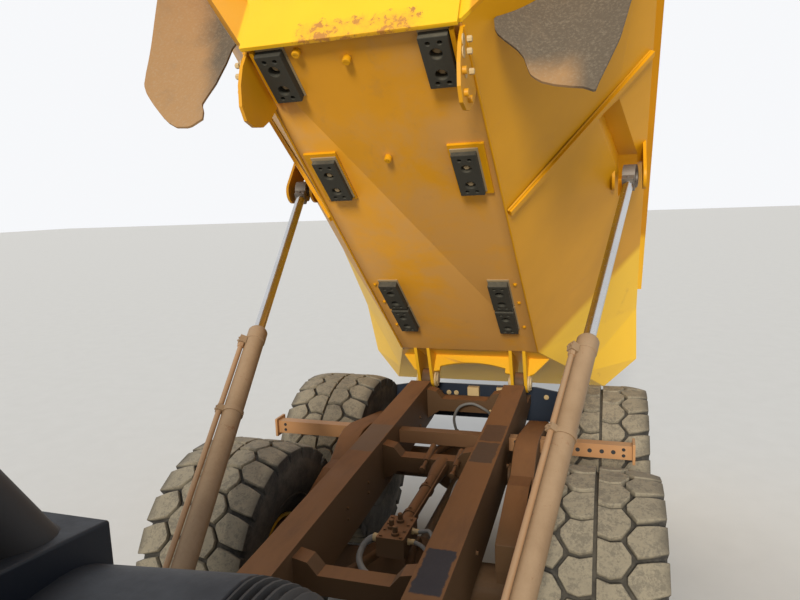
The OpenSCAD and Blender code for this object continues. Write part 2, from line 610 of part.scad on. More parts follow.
// Rear frame
rail_out = rail_in + rail_w;
tow_x = hinge_x - 230;
tow_z = rail_top(hinge_x) - 330;
tow_t = 50;
lug_y = 478;
lug_half = 45;
module rear_rail() {
    side_plate([
        [hinge_x - 150, rail_top(hinge_x) - 250], [hinge_x - 150, rail_top(hinge_x) - rail_h + 60],
        [hinge_x + 300, rail_top(0) - rail_h], [low_pin_x - 700, rail_top(low_pin_x) - rail_h],
        [low_pin_x - 300, low_pin_z - 130], [low_pin_x + 250, low_pin_z - 130],
        [low_pin_x + 420, low_pin_z], [low_pin_x + 420, 1250], [low_pin_x + 150, rail_top(low_pin_x + 100)],
        [hinge_x + 330, rail_top(hinge_x + 330)], [hinge_x + 140, rail_top(hinge_x) - 250]
    ], rail_in, rail_out);
}
frame_member_x = [20, 1340, 2900];
module rear_frame() color("#5b4a3a") placed() {
    difference() {
        union() {
            both_sides() {
                rear_rail();
                // hinge lug
                rod_y(hinge_x, hinge_z, lug_y - lug_half, lug_y + lug_half, 100);
                side_plate([
                    [hinge_x - 140, rail_top(hinge_x) - 260], [hinge_x - 95, hinge_z], [hinge_x + 95, hinge_z],
                    [hinge_x + 140, rail_top(hinge_x) - 260]
                ], lug_y - lug_half, lug_y + lug_half);
                // pivot of the walking beam
                rod_y(bogie_gap / 2, 1240, rail_out - 1, beam_y[0], 90);
            }
            // cross members
            rod_y(hinge_x, rail_top(hinge_x) - 330, -rail_in - 1, rail_in + 1, 80);
            for (x = frame_member_x) front_plate([
                [-rail_in - 1, rail_top(x) - 330], [-rail_in - 1, rail_top(x) - 40], [-rail_in + 90, rail_top(x) - 60],
                [-rail_in + 150, rail_top(x) - 130], [rail_in - 150, rail_top(x) - 130], [rail_in - 90, rail_top(x) - 60],
                [rail_in + 1, rail_top(x) - 40], [rail_in + 1, rail_top(x) - 330], [rail_in - 120, rail_top(x) - 250],
                [-rail_in + 120, rail_top(x) - 250]
            ], x - 60, x + 60);
            // arm and valve block between the rails
            bar([1380, 110, 1436], [2200, 50, 1335], 45);
            box([2180, -40, 1270], [2480, 140, 1400]);
            // neck and collar
            box([low_pin_x + 200, -rail_in - 1, low_pin_z - 60], [low_pin_x + 420, rail_in + 1, 1250]);
            rod_x(low_pin_x + 200, collar_x[1], 0, osc_z, osc_r + 60);
            // towing lug
            box([tow_x - 60, -60, tow_z - tow_t / 2], [hinge_x - 60, 60, tow_z + tow_t / 2]);
        }
        translate([tow_x, 0, tow_z - 2 * tow_t]) cylinder(h = 4 * tow_t, r = tow_r + 5);
        both_sides() rod_y(hinge_x, hinge_z, lug_y - lug_half - cut, lug_y + lug_half + cut, pin_r + run);
        rod_x(collar_x[0] - cut, collar_x[1] + cut, 0, osc_z, osc_r + run);
        rod_x(low_pin_x + 200 - cut, collar_x[0] + 1, 0, osc_z, osc_r + 51);
    }
}

// Brackets and pins at the feet of the hoist cylinders
module hoist_seats() color("#5b4a3a") placed() both_sides() {
    rod_y(low_pin_x, low_pin_z, rail_out, low_pin_y - eye_half - clear, 76);
    rod_y(low_pin_x, low_pin_z, rail_out, low_pin_y + eye_half + 40, pin_r);
    rod_y(low_pin_x, low_pin_z, low_pin_y + eye_half + clear, low_pin_y + eye_half + 40, 64);
}

beam_y = [640, 800];
module walking_beams() color("#4a4038") placed() both_sides() side_plate([
    [-150, axle_z + 205], [bogie_gap + 150, axle_z + 205], [bogie_gap + 150, 1250], [bogie_gap - 390, 1420],
    [390, 1420], [-150, 1250]
], beam_y[0], beam_y[1]);

module bogie_axles() color("#4a4038") placed() for (x = [0, bogie_gap]) {
    axle(x);
    both_sides() box([x - 110, beam_y[0], axle_z + 60], [x + 110, beam_y[1], axle_z + 205]);
    // links from the top of the housing to the cross member ahead
    x1 = x == 0 ? frame_member_x[1] : frame_member_x[2];
    rod_y(x + 60, axle_z + diff_r + 15, -110, 110, 42);
    both_sides() bar([x + 60, 60, axle_z + diff_r + 15], [x1 - 62, 250, rail_top(x1) - 290], link_r);
}

link_r = 30;
shaft_r = 60;
// A shaft between two flanges along x, with forks at both ends
module shaft(x0, x1, z0, z1, r) {
    rod_x(x0, x0 + 40, 0, z0, r + 30);
    rod_x(x0 + 30, x0 + 130, 0, z0, r * 0.9);
    rod_y(x0 + 110, z0, -r - 20, r + 20, 34);
    rod_x(x1 - 40, x1, 0, z1, r + 30);
    rod_x(x1 - 130, x1 - 30, 0, z1, r * 0.9);
    rod_y(x1 - 110, z1, -r - 20, r + 20, 34);
    bar([x0 + 110, 0, z0], [x1 - 110, 0, z1], r);
}
module drive_shafts() color("#8a8276") placed() {
    shaft(diff_r + run, bogie_gap - diff_r - run, axle_z, axle_z, shaft_r);
    shaft(bogie_gap + diff_r + run, low_pin_x + 200 - 40, axle_z, osc_z, shaft_r);
}

bar_x = 942;
bar_z = [1436, 1546];
module cross_bar() color("#b4652a") placed() {
    box([bar_x - 45, -rail_in, bar_z[0]], [bar_x + 45, rail_in, bar_z[1]]);
    both_sides() {
        box([bar_x - 45, rail_out, bar_z[0]], [bar_x + 45, 1505, bar_z[1]]);
        box([bar_x - 80, 1504, bar_z[0] - 25], [bar_x + 80, 1524, bar_z[1] + 25]);
    }
}

module tail_lamps() color("#8c1c16") placed() both_sides()
    box([hinge_x - 190, rail_in + 20, rail_top(hinge_x) - 330], [hinge_x - 150, rail_out - 20, rail_top(hinge_x) - 260]);

// Hoist cylinders, drawn on the left and mirrored
module hoist_barrel() {
    difference() {
        union() {
            rod_y(low_pin[0], low_pin[2], low_pin[1] - eye_half, low_pin[1] + eye_half, eye_r);
            along(low_pin, top_pin) {
                box([95, -eye_half, -90], [150, eye_half, 90]);
                rod_x(145, hoist_barrel, 0, 0, hoist_r);
                rod_x(hoist_barrel - 110, hoist_barrel, 0, 0, hoist_r + 10);
                // oil pipe on the inner side, with its clamps and ports
                rod_x(190, hoist_barrel - 160, -hoist_r - 22, 0, 14);
                for (s = [190, hoist_barrel - 185]) box([s, -hoist_r - 24, -22], [s + 40, -hoist_r + 30, 22]);
                for (s = [0.3, 0.62]) rod_x(s * hoist_barrel, s * hoist_barrel + 45, 0, 0, hoist_r + 7);
            }
        }
        // a bore that widens both ways, so the barrel can lean on its pin
        translate(low_pin) for (a = [90, -90]) rotate([a, 0, 0])
            cylinder(h = 2 * eye_half, r1 = pin_r + run, r2 = pin_r + run + 2 * eye_half * tan(lean));
        along(low_pin, top_pin) {
            rod_x(185, hoist_barrel - 90, 0, 0, hoist_r - 25);
            rod_x(hoist_barrel - 91, hoist_barrel + cut, 0, 0, hoist_rod_r + run);
        }
    }
}
module hoist_rod_form() {
    rod_y(top_pin[0], top_pin[2], top_pin[1] - eye_half, top_pin[1] + eye_half, eye_r);
    along(low_pin, top_pin) {
        rod_x(hoist_len - hoist_rod, hoist_len - 60, 0, 0, hoist_rod_r);
        rod_x(hoist_len - hoist_rod, hoist_len - hoist_rod + 60, 0, 0, hoist_r - 25 - run);
    }
}
module hoist_barrel_left() color("#6b5a45") placed() hoist_barrel();
module hoist_barrel_right() color("#6b5a45") placed() mirror([0, 1, 0]) hoist_barrel();
module hoist_rod_left() color("#c9ccd0") placed() hoist_rod_form();
module hoist_rod_right() color("#c9ccd0") placed() mirror([0, 1, 0]) hoist_rod_form();

// Bed, drawn with its floor level and the hinge at the origin
function floor_point(c) = [c[0], c[1], c[2]];
function chine_point(c) = [c[0] + c[7] * (c[4] - c[2]), c[3], c[4]];
function top_point(c) = [c[0] + c[7] * (c[6] - c[2]), c[5], c[6]];
function flip(p) = [p[0], -p[1], p[2]];

module bed_floor() color("#b07a2a") on_bed() for (i = [0 : 2]) {
    a = floor_point(BED[i]);
    b = floor_point(BED[i + 1]);
    panel(a, b, flip(b), flip(a), [0, 0, bed_plate]);
}

// Height of the sloped side's outer face and of the tail floor's underside
function mix(a, b, t) = a + (b - a) * t;
function slope_at(s, y) = let (
    t = (s - BED[1][0]) / (BED[0][0] - BED[1][0]),
    f = mix(BED[1][1], BED[0][1], t),
    k = mix(BED[1][4], BED[0][4], t)
) mix(floor_h, k, (y - f) / (wall_half - f));
function tail_floor_at(s) = mix(BED[1][2], BED[2][2], (BED[1][0] - s) / (BED[1][0] - BED[2][0]));

// Trough in the slope that the rod's eye drifts into: its ends and where its roof starts to fall
trough_s = [1500, 1800, 2590];
trough_h = 1305;
trough_fall = 0.24;             // how far its roof falls per unit of length
trough_y = [1386, 1236];        // its inner edge at both ends
slope_in = [0, -0.8, 0.6] * bed_plate;
// Rib: places along the floor and across it
RIB = [[2510, 655], [2555, 655], [2765, 1590], [2720, 1590]];
function on_slope(p) = [p[0], p[1], slope_at(p[0], p[1]) + 2];
ear_y = top_pin_y + eye_half + 41;
ear_in_y = top_pin_y - 145;
function trough_edge(s) = mix(trough_y[0], trough_y[1], (s - trough_s[1]) / (trough_s[2] - trough_s[1]));
module trough(t) intersection() {
    side_plate([
        [trough_s[0] - t, 0], [trough_s[2] + t, 0], [trough_s[2] + t, trough_h + t - trough_fall * (trough_s[2] - trough_s[1])],
        [trough_s[1], trough_h + t], [trough_s[0] - t, trough_h + t]
    ], trough_y[1] - 2 * t - cut, wall_half - 30);
    linear_extrude(trough_h + 2 * bed_plate) polygon([
        [trough_s[0] - 2 * bed_plate, trough_y[0] - t], [trough_s[1], trough_y[0] - t],
        [trough_s[2] + 2 * bed_plate, trough_edge(trough_s[2] + 2 * bed_plate) - t],
        [trough_s[2] + 2 * bed_plate, wall_half + cut], [trough_s[0] - 2 * bed_plate, wall_half + cut]
    ]);
}
module bed_side() {
    difference() {
        for (i = [0 : 2])
            panel(floor_point(BED[i]), floor_point(BED[i + 1]), chine_point(BED[i + 1]), chine_point(BED[i]), slope_in);
        trough(0);
        // the edge of the floor plate
        for (i = [0 : 2]) {
            run_on = (floor_point(BED[i]) - floor_point(BED[i + 1])) * 0.1;
            a = floor_point(BED[i]) + (i == 0 ? run_on : [0, 0, 0]) - [0, 0, cut];
            b = floor_point(BED[i + 1]) - (i == 2 ? run_on : [0, 0, 0]) - [0, 0, cut];
            panel(a, b, flip(b), flip(a), [0, 0, bed_plate + cut]);
        }
    }
    for (i = [0 : 2])
        panel(chine_point(BED[i]), chine_point(BED[i + 1]), top_point(BED[i + 1]), top_point(BED[i]), [0, -bed_plate, 0]);
    // top rail
    for (i = [0 : 1]) {
        a = top_point(BED[i]) - [0, 1, 0];
        b = top_point(BED[i + 1]) - [0, 1, 0];
        panel(a, b, b - [BED[i + 1][7] * 130, 0, 130], a - [BED[i][7] * 130, 0, 130], [0, rail_top_w + 1, 0]);
    }
    // plates of the trough
    intersection() {
        difference() {
            trough(bed_plate);
            trough(0);
        }
        front_plate([
            [trough_y[1] - 60, slope_at(trough_s[1], trough_y[1] - 60) + 22], [wall_half - 8, slope_at(trough_s[1], wall_half - 8) + 22],
            [wall_half - 8, side_top], [trough_y[1] - 60, side_top]
        ], trough_s[0] - 2 * bed_plate, trough_s[2] + 2 * bed_plate);
    }
    // ears of the upper pin, cut off at the slope's plate
    for (y = [ear_y, ear_in_y]) intersection() {
        union() {
            rod_y(top_pin_s, top_pin_h, y, y + bed_plate, 110);
            box([top_pin_s - 110, y, top_pin_h], [top_pin_s + 110, y + bed_plate, side_top]);
        }
        front_plate([
            [ear_in_y - 60, top_pin_h - 300], [wall_half, top_pin_h - 300], [wall_half, slope_at(top_pin_s, wall_half) + 20],
            [ear_in_y - 60, slope_at(top_pin_s, ear_in_y - 60) + 20]
        ], top_pin_s - 140, top_pin_s + 140);
    }
    // rib across the slope
    panel(on_slope(RIB[0]), on_slope(RIB[1]), on_slope(RIB[2]), on_slope(RIB[3]), -slope_in * 1.4);
}
module bed_side_left() color("#e8a51c") on_bed() bed_side();
module bed_side_right() color("#e8a51c") on_bed() mirror([0, 1, 0]) bed_side();

rake = atan(BED[0][7]);
skirt_y = [610, 850];
skirt_h = [-46, 190, 430, 900];
function arc(c, r, a0, a1, n) = [for (i = [0 : n]) c + r * [cos(a0 + (a1 - a0) * i / n), sin(a0 + (a1 - a0) * i / n)]];
module bed_front_wall() color("#e8a51c") on_bed() {
    c = BED[0];
    f = floor_point(c);
    k = chine_point(c);
    t = top_point(c);
    out = [bed_plate, 0, 0];
    hull() {
        panel(f, k, flip(k), flip(f), out);
        panel(k, t, flip(t), flip(k), out);
    }
    // raked plate on the foot of the wall, with a lip under the floor and rounded shoulders
    fillet = skirt_y[1] - skirt_y[0];
    translate([floor_front + bed_plate - 2, 0, floor_h]) rotate([0, rake, 0]) front_plate([
        [-skirt_y[0], skirt_h[0]], [skirt_y[0], skirt_h[0]],
        each arc([skirt_y[1], skirt_h[1]], fillet, 180, 90, 5), [skirt_y[1], skirt_h[3]],
        [-skirt_y[1], skirt_h[3]], each arc([-skirt_y[1], skirt_h[1]], fillet, 90, 0, 5)
    ], 0, bed_plate + 2);
    // post of the access panel in the middle
    translate([floor_front + 2 * bed_plate - 1, 0, floor_h]) rotate([0, rake, 0])
        front_plate([[-170, 260], [170, 260], [170, 640], [-170, 640]], 0, 7);
}

// Pads: start, end of each row
PADS = [[3720, 4050], [2810, 3190], [1290, 1670], [870, 1250]];
module bed_pads() color("#2a2a2a") on_bed() both_sides() for (p = PADS)
    box([p[0], 388, pad_h], [p[1], 549, p[0] == raised_pad ? floor_h - pad_seat_t : floor_h]);

// Guide plates beside the rails, seats of the raised pads, and bosses under the floor
raised_pad = PADS[1][0];
pad_seat_t = 18;
guide_y = [rail_out + 40, rail_out + 60];
module bed_guides() color("#e8a51c") on_bed() {
    both_sides() {
        side_plate([
            [3640, floor_h], [3660, 20], [3700, -80], [3770, -150], [3850, -180], [3930, -150], [4000, -60], [4040, 40],
            [4050, floor_h]
        ], guide_y[0], guide_y[1]);
        for (p = [[3760, -60], [3850, -110], [3940, -50]]) rod_y(p[0], p[1], guide_y[1] - 1, guide_y[1] + 22, 20);
        box([raised_pad - 30, 370, floor_h - pad_seat_t], [raised_pad + 430, 600, floor_h]);
    }
    for (p = [[3940, -40], [3160, -30], [4020, -310]]) translate([p[0], p[1], floor_h - 26]) cylinder(h = 26, r = 24, $fn = 16);
}

module bed_hinge_frame() color("#e8a51c") on_bed() {
    // cross plate with a shallow arch
    half = lug_y - lug_half - clear - 29;
    front_plate([
        [-half, tail_floor_at(124)], [-half, 30], [-half + 60, 40], each arc([0, -1010], 1150, 107, 73, 8), [half - 60, 40],
        [half, 30], [half, tail_floor_at(124)]
    ], 100, 124);
    hinge_plates();
}
module hinge_plates() both_sides() {
    for (y = [lug_y - lug_half - clear - 30, lug_y + lug_half + clear]) {
        rod_y(0, 0, y, y + 30, 100);
        side_plate([[floor_bend, floor_h], [-150, tail_floor_at(-150)], [-99, 0], [40, -90]], y, y + 30);
    }
    rod_y(0, 0, lug_y - lug_half - clear - 30, lug_y + lug_half + clear + 30, pin_r);
    // gusset outside each pair of plates
    side_y = lug_y + lug_half + clear + 29;
    front_plate([[side_y, 30], [side_y, tail_floor_at(84)], [side_y + 200, tail_floor_at(84)], [side_y + 60, 60]], 60, 84);
}

// Rubber flaps that hang from the front edge of the slopes, bent round an upright axis
flap_c = [3490, 1080];          // axis of the bend
flap_r = 550;
flap_t = 18;
function flap_s(y) = flap_c[0] + sqrt(flap_r * flap_r - (y - flap_c[1]) * (y - flap_c[1]));
FLAP = [
    [1575, 1150], [1560, 870], [1500, 600], [1420, 250], [1360, -160], [1270, -300], [1120, -320], [1035, -260],
    [1000, -140], [935, 0], [860, 120]
];
module mud_flaps() color("#2e2b27") on_bed() both_sides() intersection() {
    translate([0, 0, -600]) linear_extrude(2400) polygon([
        each arc(flap_c, flap_r, -40, 72, 14), each arc(flap_c, flap_r - flap_t, 72, -40, 14)
    ]);
    front_plate([
        each FLAP, for (y = [840 : 35 : 1575]) [y, slope_at(flap_s(y), y) - 1.5 - max(0, y - 1400) * 0.025]
    ], flap_c[0] + 50, flap_c[0] + flap_r + 5);
}

// Hoses between the frame's members: routes as points, swept as tubes
hose_r = 13;
feed_r = 20;
HOSES = [
    [[80.3, 255, 1450], [130, 255, 1452], [170, 215, 1500], [180, 100, 1550], [175, -20, 1510], [165, -80, 1400],
        [110, -80, 1270], [60, -70, 1225], [60, -70, axle_z + diff_r + 57.3]],
    [[2300, 140.3, 1370], [2300, 190, 1370], [2340, 270, 1400], [2420, 312, 1370], [2470, 318, 1290], [2500, 330, 1210],
        [2500, rail_in - 0.5, 1210]],
    [[2400, 140.3, 1350], [2400, 190, 1350], [2450, 270, 1340], [2500, 305, 1265], [2540, 325, 1170], [2540, rail_in - 0.5, 1170]],
    [[1650, rail_in - 0.5, 1455], [1650, 325, 1455], [1760, 308, 1462], [1950, 308, 1420], [2110, 318, 1340], [2160, 330, 1310],
        [2160, rail_in - 0.5, 1310]]
];
FEED = [[2400, -40.3, 1350], [2400, -90, 1350], [2450, -135, 1320], [2570, -120, 1290], [2700, -20, 1285], [2780, 140, 1290],
    [2800, 290, 1290], [2800, rail_in - 0.3, 1290]];
function hose_point(r, u) = let (
    n = len(r) - 1, i = min(floor(u), n - 1), f = u - i,
    a = r[max(i - 1, 0)], b = r[i], c = r[i + 1], d = r[min(i + 2, n)]
) 0.5 * (2 * b + (c - a) * f + (2 * a - 5 * b + 4 * c - d) * f * f + (3 * b - a - 3 * c + d) * f * f * f);
module hose(route, r) {
    steps = 4 * (len(route) - 1);
    sides = 8;
    p = [for (k = [0 : steps]) hose_point(route, k / 4)];
    rings = [for (k = [0 : steps]) let (
        d = k == 0 ? route[1] - route[0] : k == steps ? route[len(route) - 1] - route[len(route) - 2] : p[k + 1] - p[k - 1],
        e = cross(d, [0.35, 0, 1]) / norm(cross(d, [0.35, 0, 1])),
        g = cross(e, d) / norm(d)
    ) [for (j = [0 : sides - 1]) p[k] + r * (e * cos(360 * j / sides) + g * sin(360 * j / sides))]];
    polyhedron(
        [for (ring = rings, q = ring) q],
        [
            [for (j = [0 : sides - 1]) j],
            for (k = [0 : steps - 1], j = [0 : sides - 1]) each [
                [k * sides + j, (k + 1) * sides + j, k * sides + (j + 1) % sides],
                [(k + 1) * sides + j, (k + 1) * sides + (j + 1) % sides, k * sides + (j + 1) % sides]
            ],
            [for (j = [sides - 1 : -1 : 0]) steps * sides + j]
        ]
    );
}
module frame_hoses() color("#8d8a84") placed() {
    for (h = HOSES) hose(h, hose_r);
    hose(FEED, feed_r);
}

front_frame();
hitch_ears();
front_bumper();
engine_block();
front_fenders();
access_ladders();
handrails();
cab_shell();
cab_glass();
cab_interior();
rear_deck();
exhaust_stack();
mirrors();
head_lamps();
front_axle();
engine_hood();
hood_grille();
cab_door();
door_glass();
for (w = WHEELS) {
    tyre(w);
    rim(w);
}
hitch_yoke();
steer_barrel_left();
steer_barrel_right();
steer_rod_left();
steer_rod_right();
rear_frame();
hoist_seats();
bogie_axles();
walking_beams();
drive_shafts();
cross_bar();
tail_lamps();
hoist_barrel_left();
hoist_barrel_right();
hoist_rod_left();
hoist_rod_right();
bed_floor();
bed_side_left();
bed_side_right();
bed_front_wall();
bed_hinge_frame();
bed_pads();
bed_guides();
mud_flaps();
frame_hoses();
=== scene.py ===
"""Looks of the articulated dump truck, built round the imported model."""
import bmesh
import bpy
import json
import math
import random
from mathutils import Matrix, Vector


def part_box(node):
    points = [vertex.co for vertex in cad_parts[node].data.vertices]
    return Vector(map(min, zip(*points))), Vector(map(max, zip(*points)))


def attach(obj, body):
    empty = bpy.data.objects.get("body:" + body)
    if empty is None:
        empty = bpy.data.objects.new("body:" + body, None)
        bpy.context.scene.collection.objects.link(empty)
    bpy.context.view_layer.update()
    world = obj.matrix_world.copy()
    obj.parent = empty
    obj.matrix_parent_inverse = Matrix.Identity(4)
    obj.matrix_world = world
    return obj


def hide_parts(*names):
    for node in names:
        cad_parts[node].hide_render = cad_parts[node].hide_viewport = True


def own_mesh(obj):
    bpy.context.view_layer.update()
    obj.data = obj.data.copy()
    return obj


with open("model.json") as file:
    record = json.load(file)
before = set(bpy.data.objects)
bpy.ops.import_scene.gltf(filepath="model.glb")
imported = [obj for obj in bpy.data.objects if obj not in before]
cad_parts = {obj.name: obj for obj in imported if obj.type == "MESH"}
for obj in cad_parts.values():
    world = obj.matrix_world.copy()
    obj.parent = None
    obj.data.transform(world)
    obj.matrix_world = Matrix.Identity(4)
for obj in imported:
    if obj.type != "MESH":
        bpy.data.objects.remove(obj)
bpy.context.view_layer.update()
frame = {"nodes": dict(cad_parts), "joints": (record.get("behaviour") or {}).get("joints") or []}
NODES = frame["nodes"]
JOINTS = {j["name"]: j for j in frame["joints"]}


# Places that the frame gives, in metres
def middle(node):
    low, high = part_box(node)
    return (low + high) / 2


REAR_AXLE = middle("tyre_rl").x
MID_AXLE = middle("tyre_ml").x
FRONT_AXLE = middle("tyre_fl").x
WHEELS = (
    ("fl", FRONT_AXLE, 1), ("fr", FRONT_AXLE, -1), ("ml", MID_AXLE, 1), ("mr", MID_AXLE, -1),
    ("rl", REAR_AXLE, 1), ("rr", REAR_AXLE, -1))
HINGE = Vector(JOINTS["bed_tip"]["pos_m"])
BED_ANGLE = math.radians(39.5)
FLOOR_H = 0.146
BED_TURN = Matrix.Translation(HINGE) @ Matrix.Rotation(-BED_ANGLE, 4, "Y")
BED_ALONG = Vector((math.cos(BED_ANGLE), 0, math.sin(BED_ANGLE)))
BED_UP = Vector((-math.sin(BED_ANGLE), 0, math.cos(BED_ANGLE)))


def on_bed(s, y, h):
    """A place on the bed: s along its floor from the hinge, h up from the floor line."""
    return BED_TURN @ Vector((s, y, h))


def ahead_of_axle(x, y, z):
    """A place on the truck: x ahead of the rear axle, y to its left, z up."""
    return Vector((REAR_AXLE + x, y, z))


TRUCK = Matrix.Translation((REAR_AXLE, 0, 0))
MIRROR = Matrix.Scale(-1, 4, (0, 1, 0))
SIDES = (("left", "l", 1, Matrix.Identity(4)), ("right", "r", -1, MIRROR))
LOW_PIN = ahead_of_axle(3.896, 0.792, 0.955)
TOP_PIN = on_bed(1.762, 1.480, 1.103)
HOIST_LENGTH = (TOP_PIN - LOW_PIN).length


def turned_along(a, b):
    """A frame at a whose x axis points to b and whose y axis stays level."""
    d = (b - a).normalized()
    return (Matrix.Translation(a) @ Matrix.Rotation(math.atan2(d.y, d.x), 4, "Z")
            @ Matrix.Rotation(-math.asin(d.z), 4, "Y"))


def around(count):
    """Angles that are spaced evenly round a circle."""
    return [2 * math.pi * k / count for k in range(count)]


class Shape:
    """A mesh that is put together from lofts, plates, rods and bolts."""

    def __init__(self, turn=None):
        self.mesh = bmesh.new()
        self.turn = turn or Matrix.Identity(4)

    def loft(self, rings, looped=False):
        """A skin over rings of points, closed at its ends or into a loop."""
        rows = [[self.mesh.verts.new(self.turn @ Vector(p)) for p in ring] for ring in rings]
        count = len(rows[0])
        pairs = list(zip(rows, rows[1:] + rows[:1])) if looped else list(zip(rows, rows[1:]))
        for a, b in pairs:
            for i in range(count):
                j = (i + 1) % count
                self.mesh.faces.new((a[i], a[j], b[j], b[i]))
        if not looped:
            self.mesh.faces.new(list(reversed(rows[0])))
            self.mesh.faces.new(rows[-1])

    def hoop(self, outline, axis, count):
        """A closed outline of places along an axis and radii, swept round the x or y axis."""
        self.loft([[(a, r * math.cos(u), r * math.sin(u)) if axis == "x" else
                    (r * math.cos(u), a, r * math.sin(u)) for a, r in outline] for u in around(count)],
                  looped=True)

    def rod(self, a, b, r, sides=24):
        """A round bar between two places."""
        self.tube([Vector(a), Vector(b)], r, sides)

    def turned(self, a, axis, profile, sides=32):
        """A turned form: distance along the axis and radius for each ring."""
        a, axis = Vector(a), Vector(axis).normalized()
        self.tube([a + axis * p[0] for p in profile], [max(p[1], 0.0005) for p in profile], sides)

    def tube(self, points, radii, sides=12):
        """A round bar through the points, of one radius or one for each point."""
        points = [Vector(p) for p in points]
        if isinstance(radii, (int, float)):
            radii = [radii] * len(points)
        ends = (points[0], points[-1])
        whole = (ends[1] - ends[0]) if (ends[1] - ends[0]).length > 1e-5 else Vector((1, 0, 0))
        upright = Vector((0, 0, 1)) if abs(whole.normalized().z) < 0.9 else Vector((0, 1, 0))
        rings = []
        for i, point in enumerate(points):
            a, b = points[max(i - 1, 0)], points[min(i + 1, len(points) - 1)]
            along = (b - a) if (b - a).length > 1e-6 else whole
            along.normalize()
            side = along.cross(upright).normalized()
            upright = side.cross(along)
            rings.append([
                point + radii[i] * (side * math.cos(u) + upright * math.sin(u))
                for u in (2 * math.pi * (k + 0.5) / sides for k in range(sides))])
        self.loft(rings)

    def block(self, low, high):
        """A block between two corners."""
        (x0, y0, z0), (x1, y1, z1) = low, high
        self.loft([[(x, y, z) for x, y in ((x0, y0), (x1, y0), (x1, y1), (x0, y1))] for z in (z0, z1)])

    def plate(self, outline, thick, turn, holes=()):
        """A flat plate cut to an outline in the turn's xy plane, with round holes."""
        part = bmesh.new()
        loops = [list(outline)]
        for x, y, r in holes:
            loops.append([(x + r * math.cos(u), y + r * math.sin(u)) for u in around(20)])
        edges = []
        for loop in loops:
            corners = [part.verts.new((x, y, 0)) for x, y in loop]
            edges += [part.edges.new((a, b)) for a, b in zip(corners, corners[1:] + corners[:1])]
        bmesh.ops.triangle_fill(part, edges=edges, use_beauty=True)
        raised = bmesh.ops.extrude_face_region(part, geom=part.faces[:])["geom"]
        for vert in (v for v in raised if isinstance(v, bmesh.types.BMVert)):
            vert.co.z += thick
        bmesh.ops.transform(part, matrix=self.turn @ turn, verts=part.verts[:])
        spare = bpy.data.meshes.new("spare")
        part.to_mesh(spare)
        part.free()
        self.mesh.from_mesh(spare)
        bpy.data.meshes.remove(spare)

    def bolt(self, at, out, r=0.014, washer=True):
        """A hexagonal head on a washer."""
        at, out = Vector(at), Vector(out).normalized()
        if washer:
            self.rod(at - out * 0.001, at + out * r * 0.25, r * 1.5, sides=18)
        self.rod(at, at + out * r * 1.1, r, sides=6)

    def done(self, name, finish, body, slot, bevel=0.002, angle=32, replaces=()):
        """Make the named piece: its finish, the body it rides on and its bevelled edges. Its slot is not
        used.
        """
        bmesh.ops.recalc_face_normals(self.mesh, faces=self.mesh.faces[:])
        data = bpy.data.meshes.new(name)
        self.mesh.to_mesh(data)
        self.mesh.free()
        piece = bpy.data.objects.new(name, data)
        bpy.context.scene.collection.objects.link(piece)
        data.shade_smooth()
        data.set_sharp_from_angle(angle=math.radians(angle))
        if bevel:
            edges = piece.modifiers.new("edges", "BEVEL")
            edges.width = bevel
            edges.segments = 2
            edges.limit_method = "ANGLE"
            edges.angle_limit = math.radians(angle)
            edges.harden_normals = True
        data.materials.append(FINISHES[finish])
        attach(piece, body)
        if replaces:
            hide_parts(*replaces)
        return piece


# Camera, above the deck behind the cab and turned to the tail
CAMERA_AHEAD = 6.012
CAMERA_LEFT = 1.337
CAMERA_HEIGHT = 3.440
LOOK_YAW = math.radians(18.15)
LOOK_DOWN = math.radians(8.40)
LOOK_ROLL = math.radians(-2.22)
LENS = 29.29


def add_camera():
    """The view from the back of the cab."""
    data = bpy.data.cameras.new("camera")
    data.lens = LENS
    data.sensor_width = 36.0
    data.clip_end = 400.0
    camera = bpy.data.objects.new("camera", data)
    bpy.context.scene.collection.objects.link(camera)
    ahead = Vector((
        -math.cos(LOOK_DOWN) * math.cos(LOOK_YAW),
        -math.cos(LOOK_DOWN) * math.sin(LOOK_YAW),
        -math.sin(LOOK_DOWN),
    ))
    level = Vector((-math.sin(LOOK_YAW), math.cos(LOOK_YAW), 0))
    upright = level.cross(ahead)
    right = level * math.cos(LOOK_ROLL) + upright * math.sin(LOOK_ROLL)
    up = upright * math.cos(LOOK_ROLL) - level * math.sin(LOOK_ROLL)
    place = Matrix((right, up, -ahead)).transposed().to_4x4()
    place.translation = Vector((REAR_AXLE + CAMERA_AHEAD, CAMERA_LEFT, CAMERA_HEIGHT))
    camera.matrix_world = place
    bpy.context.scene.camera = camera


# Shader maths
class Value:
    """One output of a finish's nodes, which takes part in Python arithmetic."""

    def __init__(self, finish, socket):
        self.finish = finish
        self.socket = socket

    def joined(self, operation, a, b=None):
        given = {i: v for i, v in enumerate((a, b)) if v is not None}
        return self.finish.add("Math", {"operation": operation}, given)

    def __add__(self, other):
        return self.joined("ADD", self, other)

    def __radd__(self, other):
        return self.joined("ADD", other, self)

    def __sub__(self, other):
        return self.joined("SUBTRACT", self, other)

    def __rsub__(self, other):
        return self.joined("SUBTRACT", other, self)

    def __mul__(self, other):
        return self.joined("MULTIPLY", self, other)

    def __rmul__(self, other):
        return self.joined("MULTIPLY", other, self)

    def __pow__(self, other):
        return self.joined("POWER", self, other)

    def above(self, low, high):
        """0 below low, 1 over high and smooth between."""
        return self.finish.add(
            "MapRange", {"interpolation_type": "SMOOTHSTEP"},
            {"Value": self, "From Min": low, "From Max": high})

    def least(self, other):
        return self.joined("MINIMUM", self, other)

    def size(self):
        return self.joined("ABSOLUTE", self)

    def within(self, low, high, soft=0.01):
        """1 between low and high, 0 outside."""
        return self.above(low - soft, low + soft) * (1 - self.above(high - soft, high + soft))


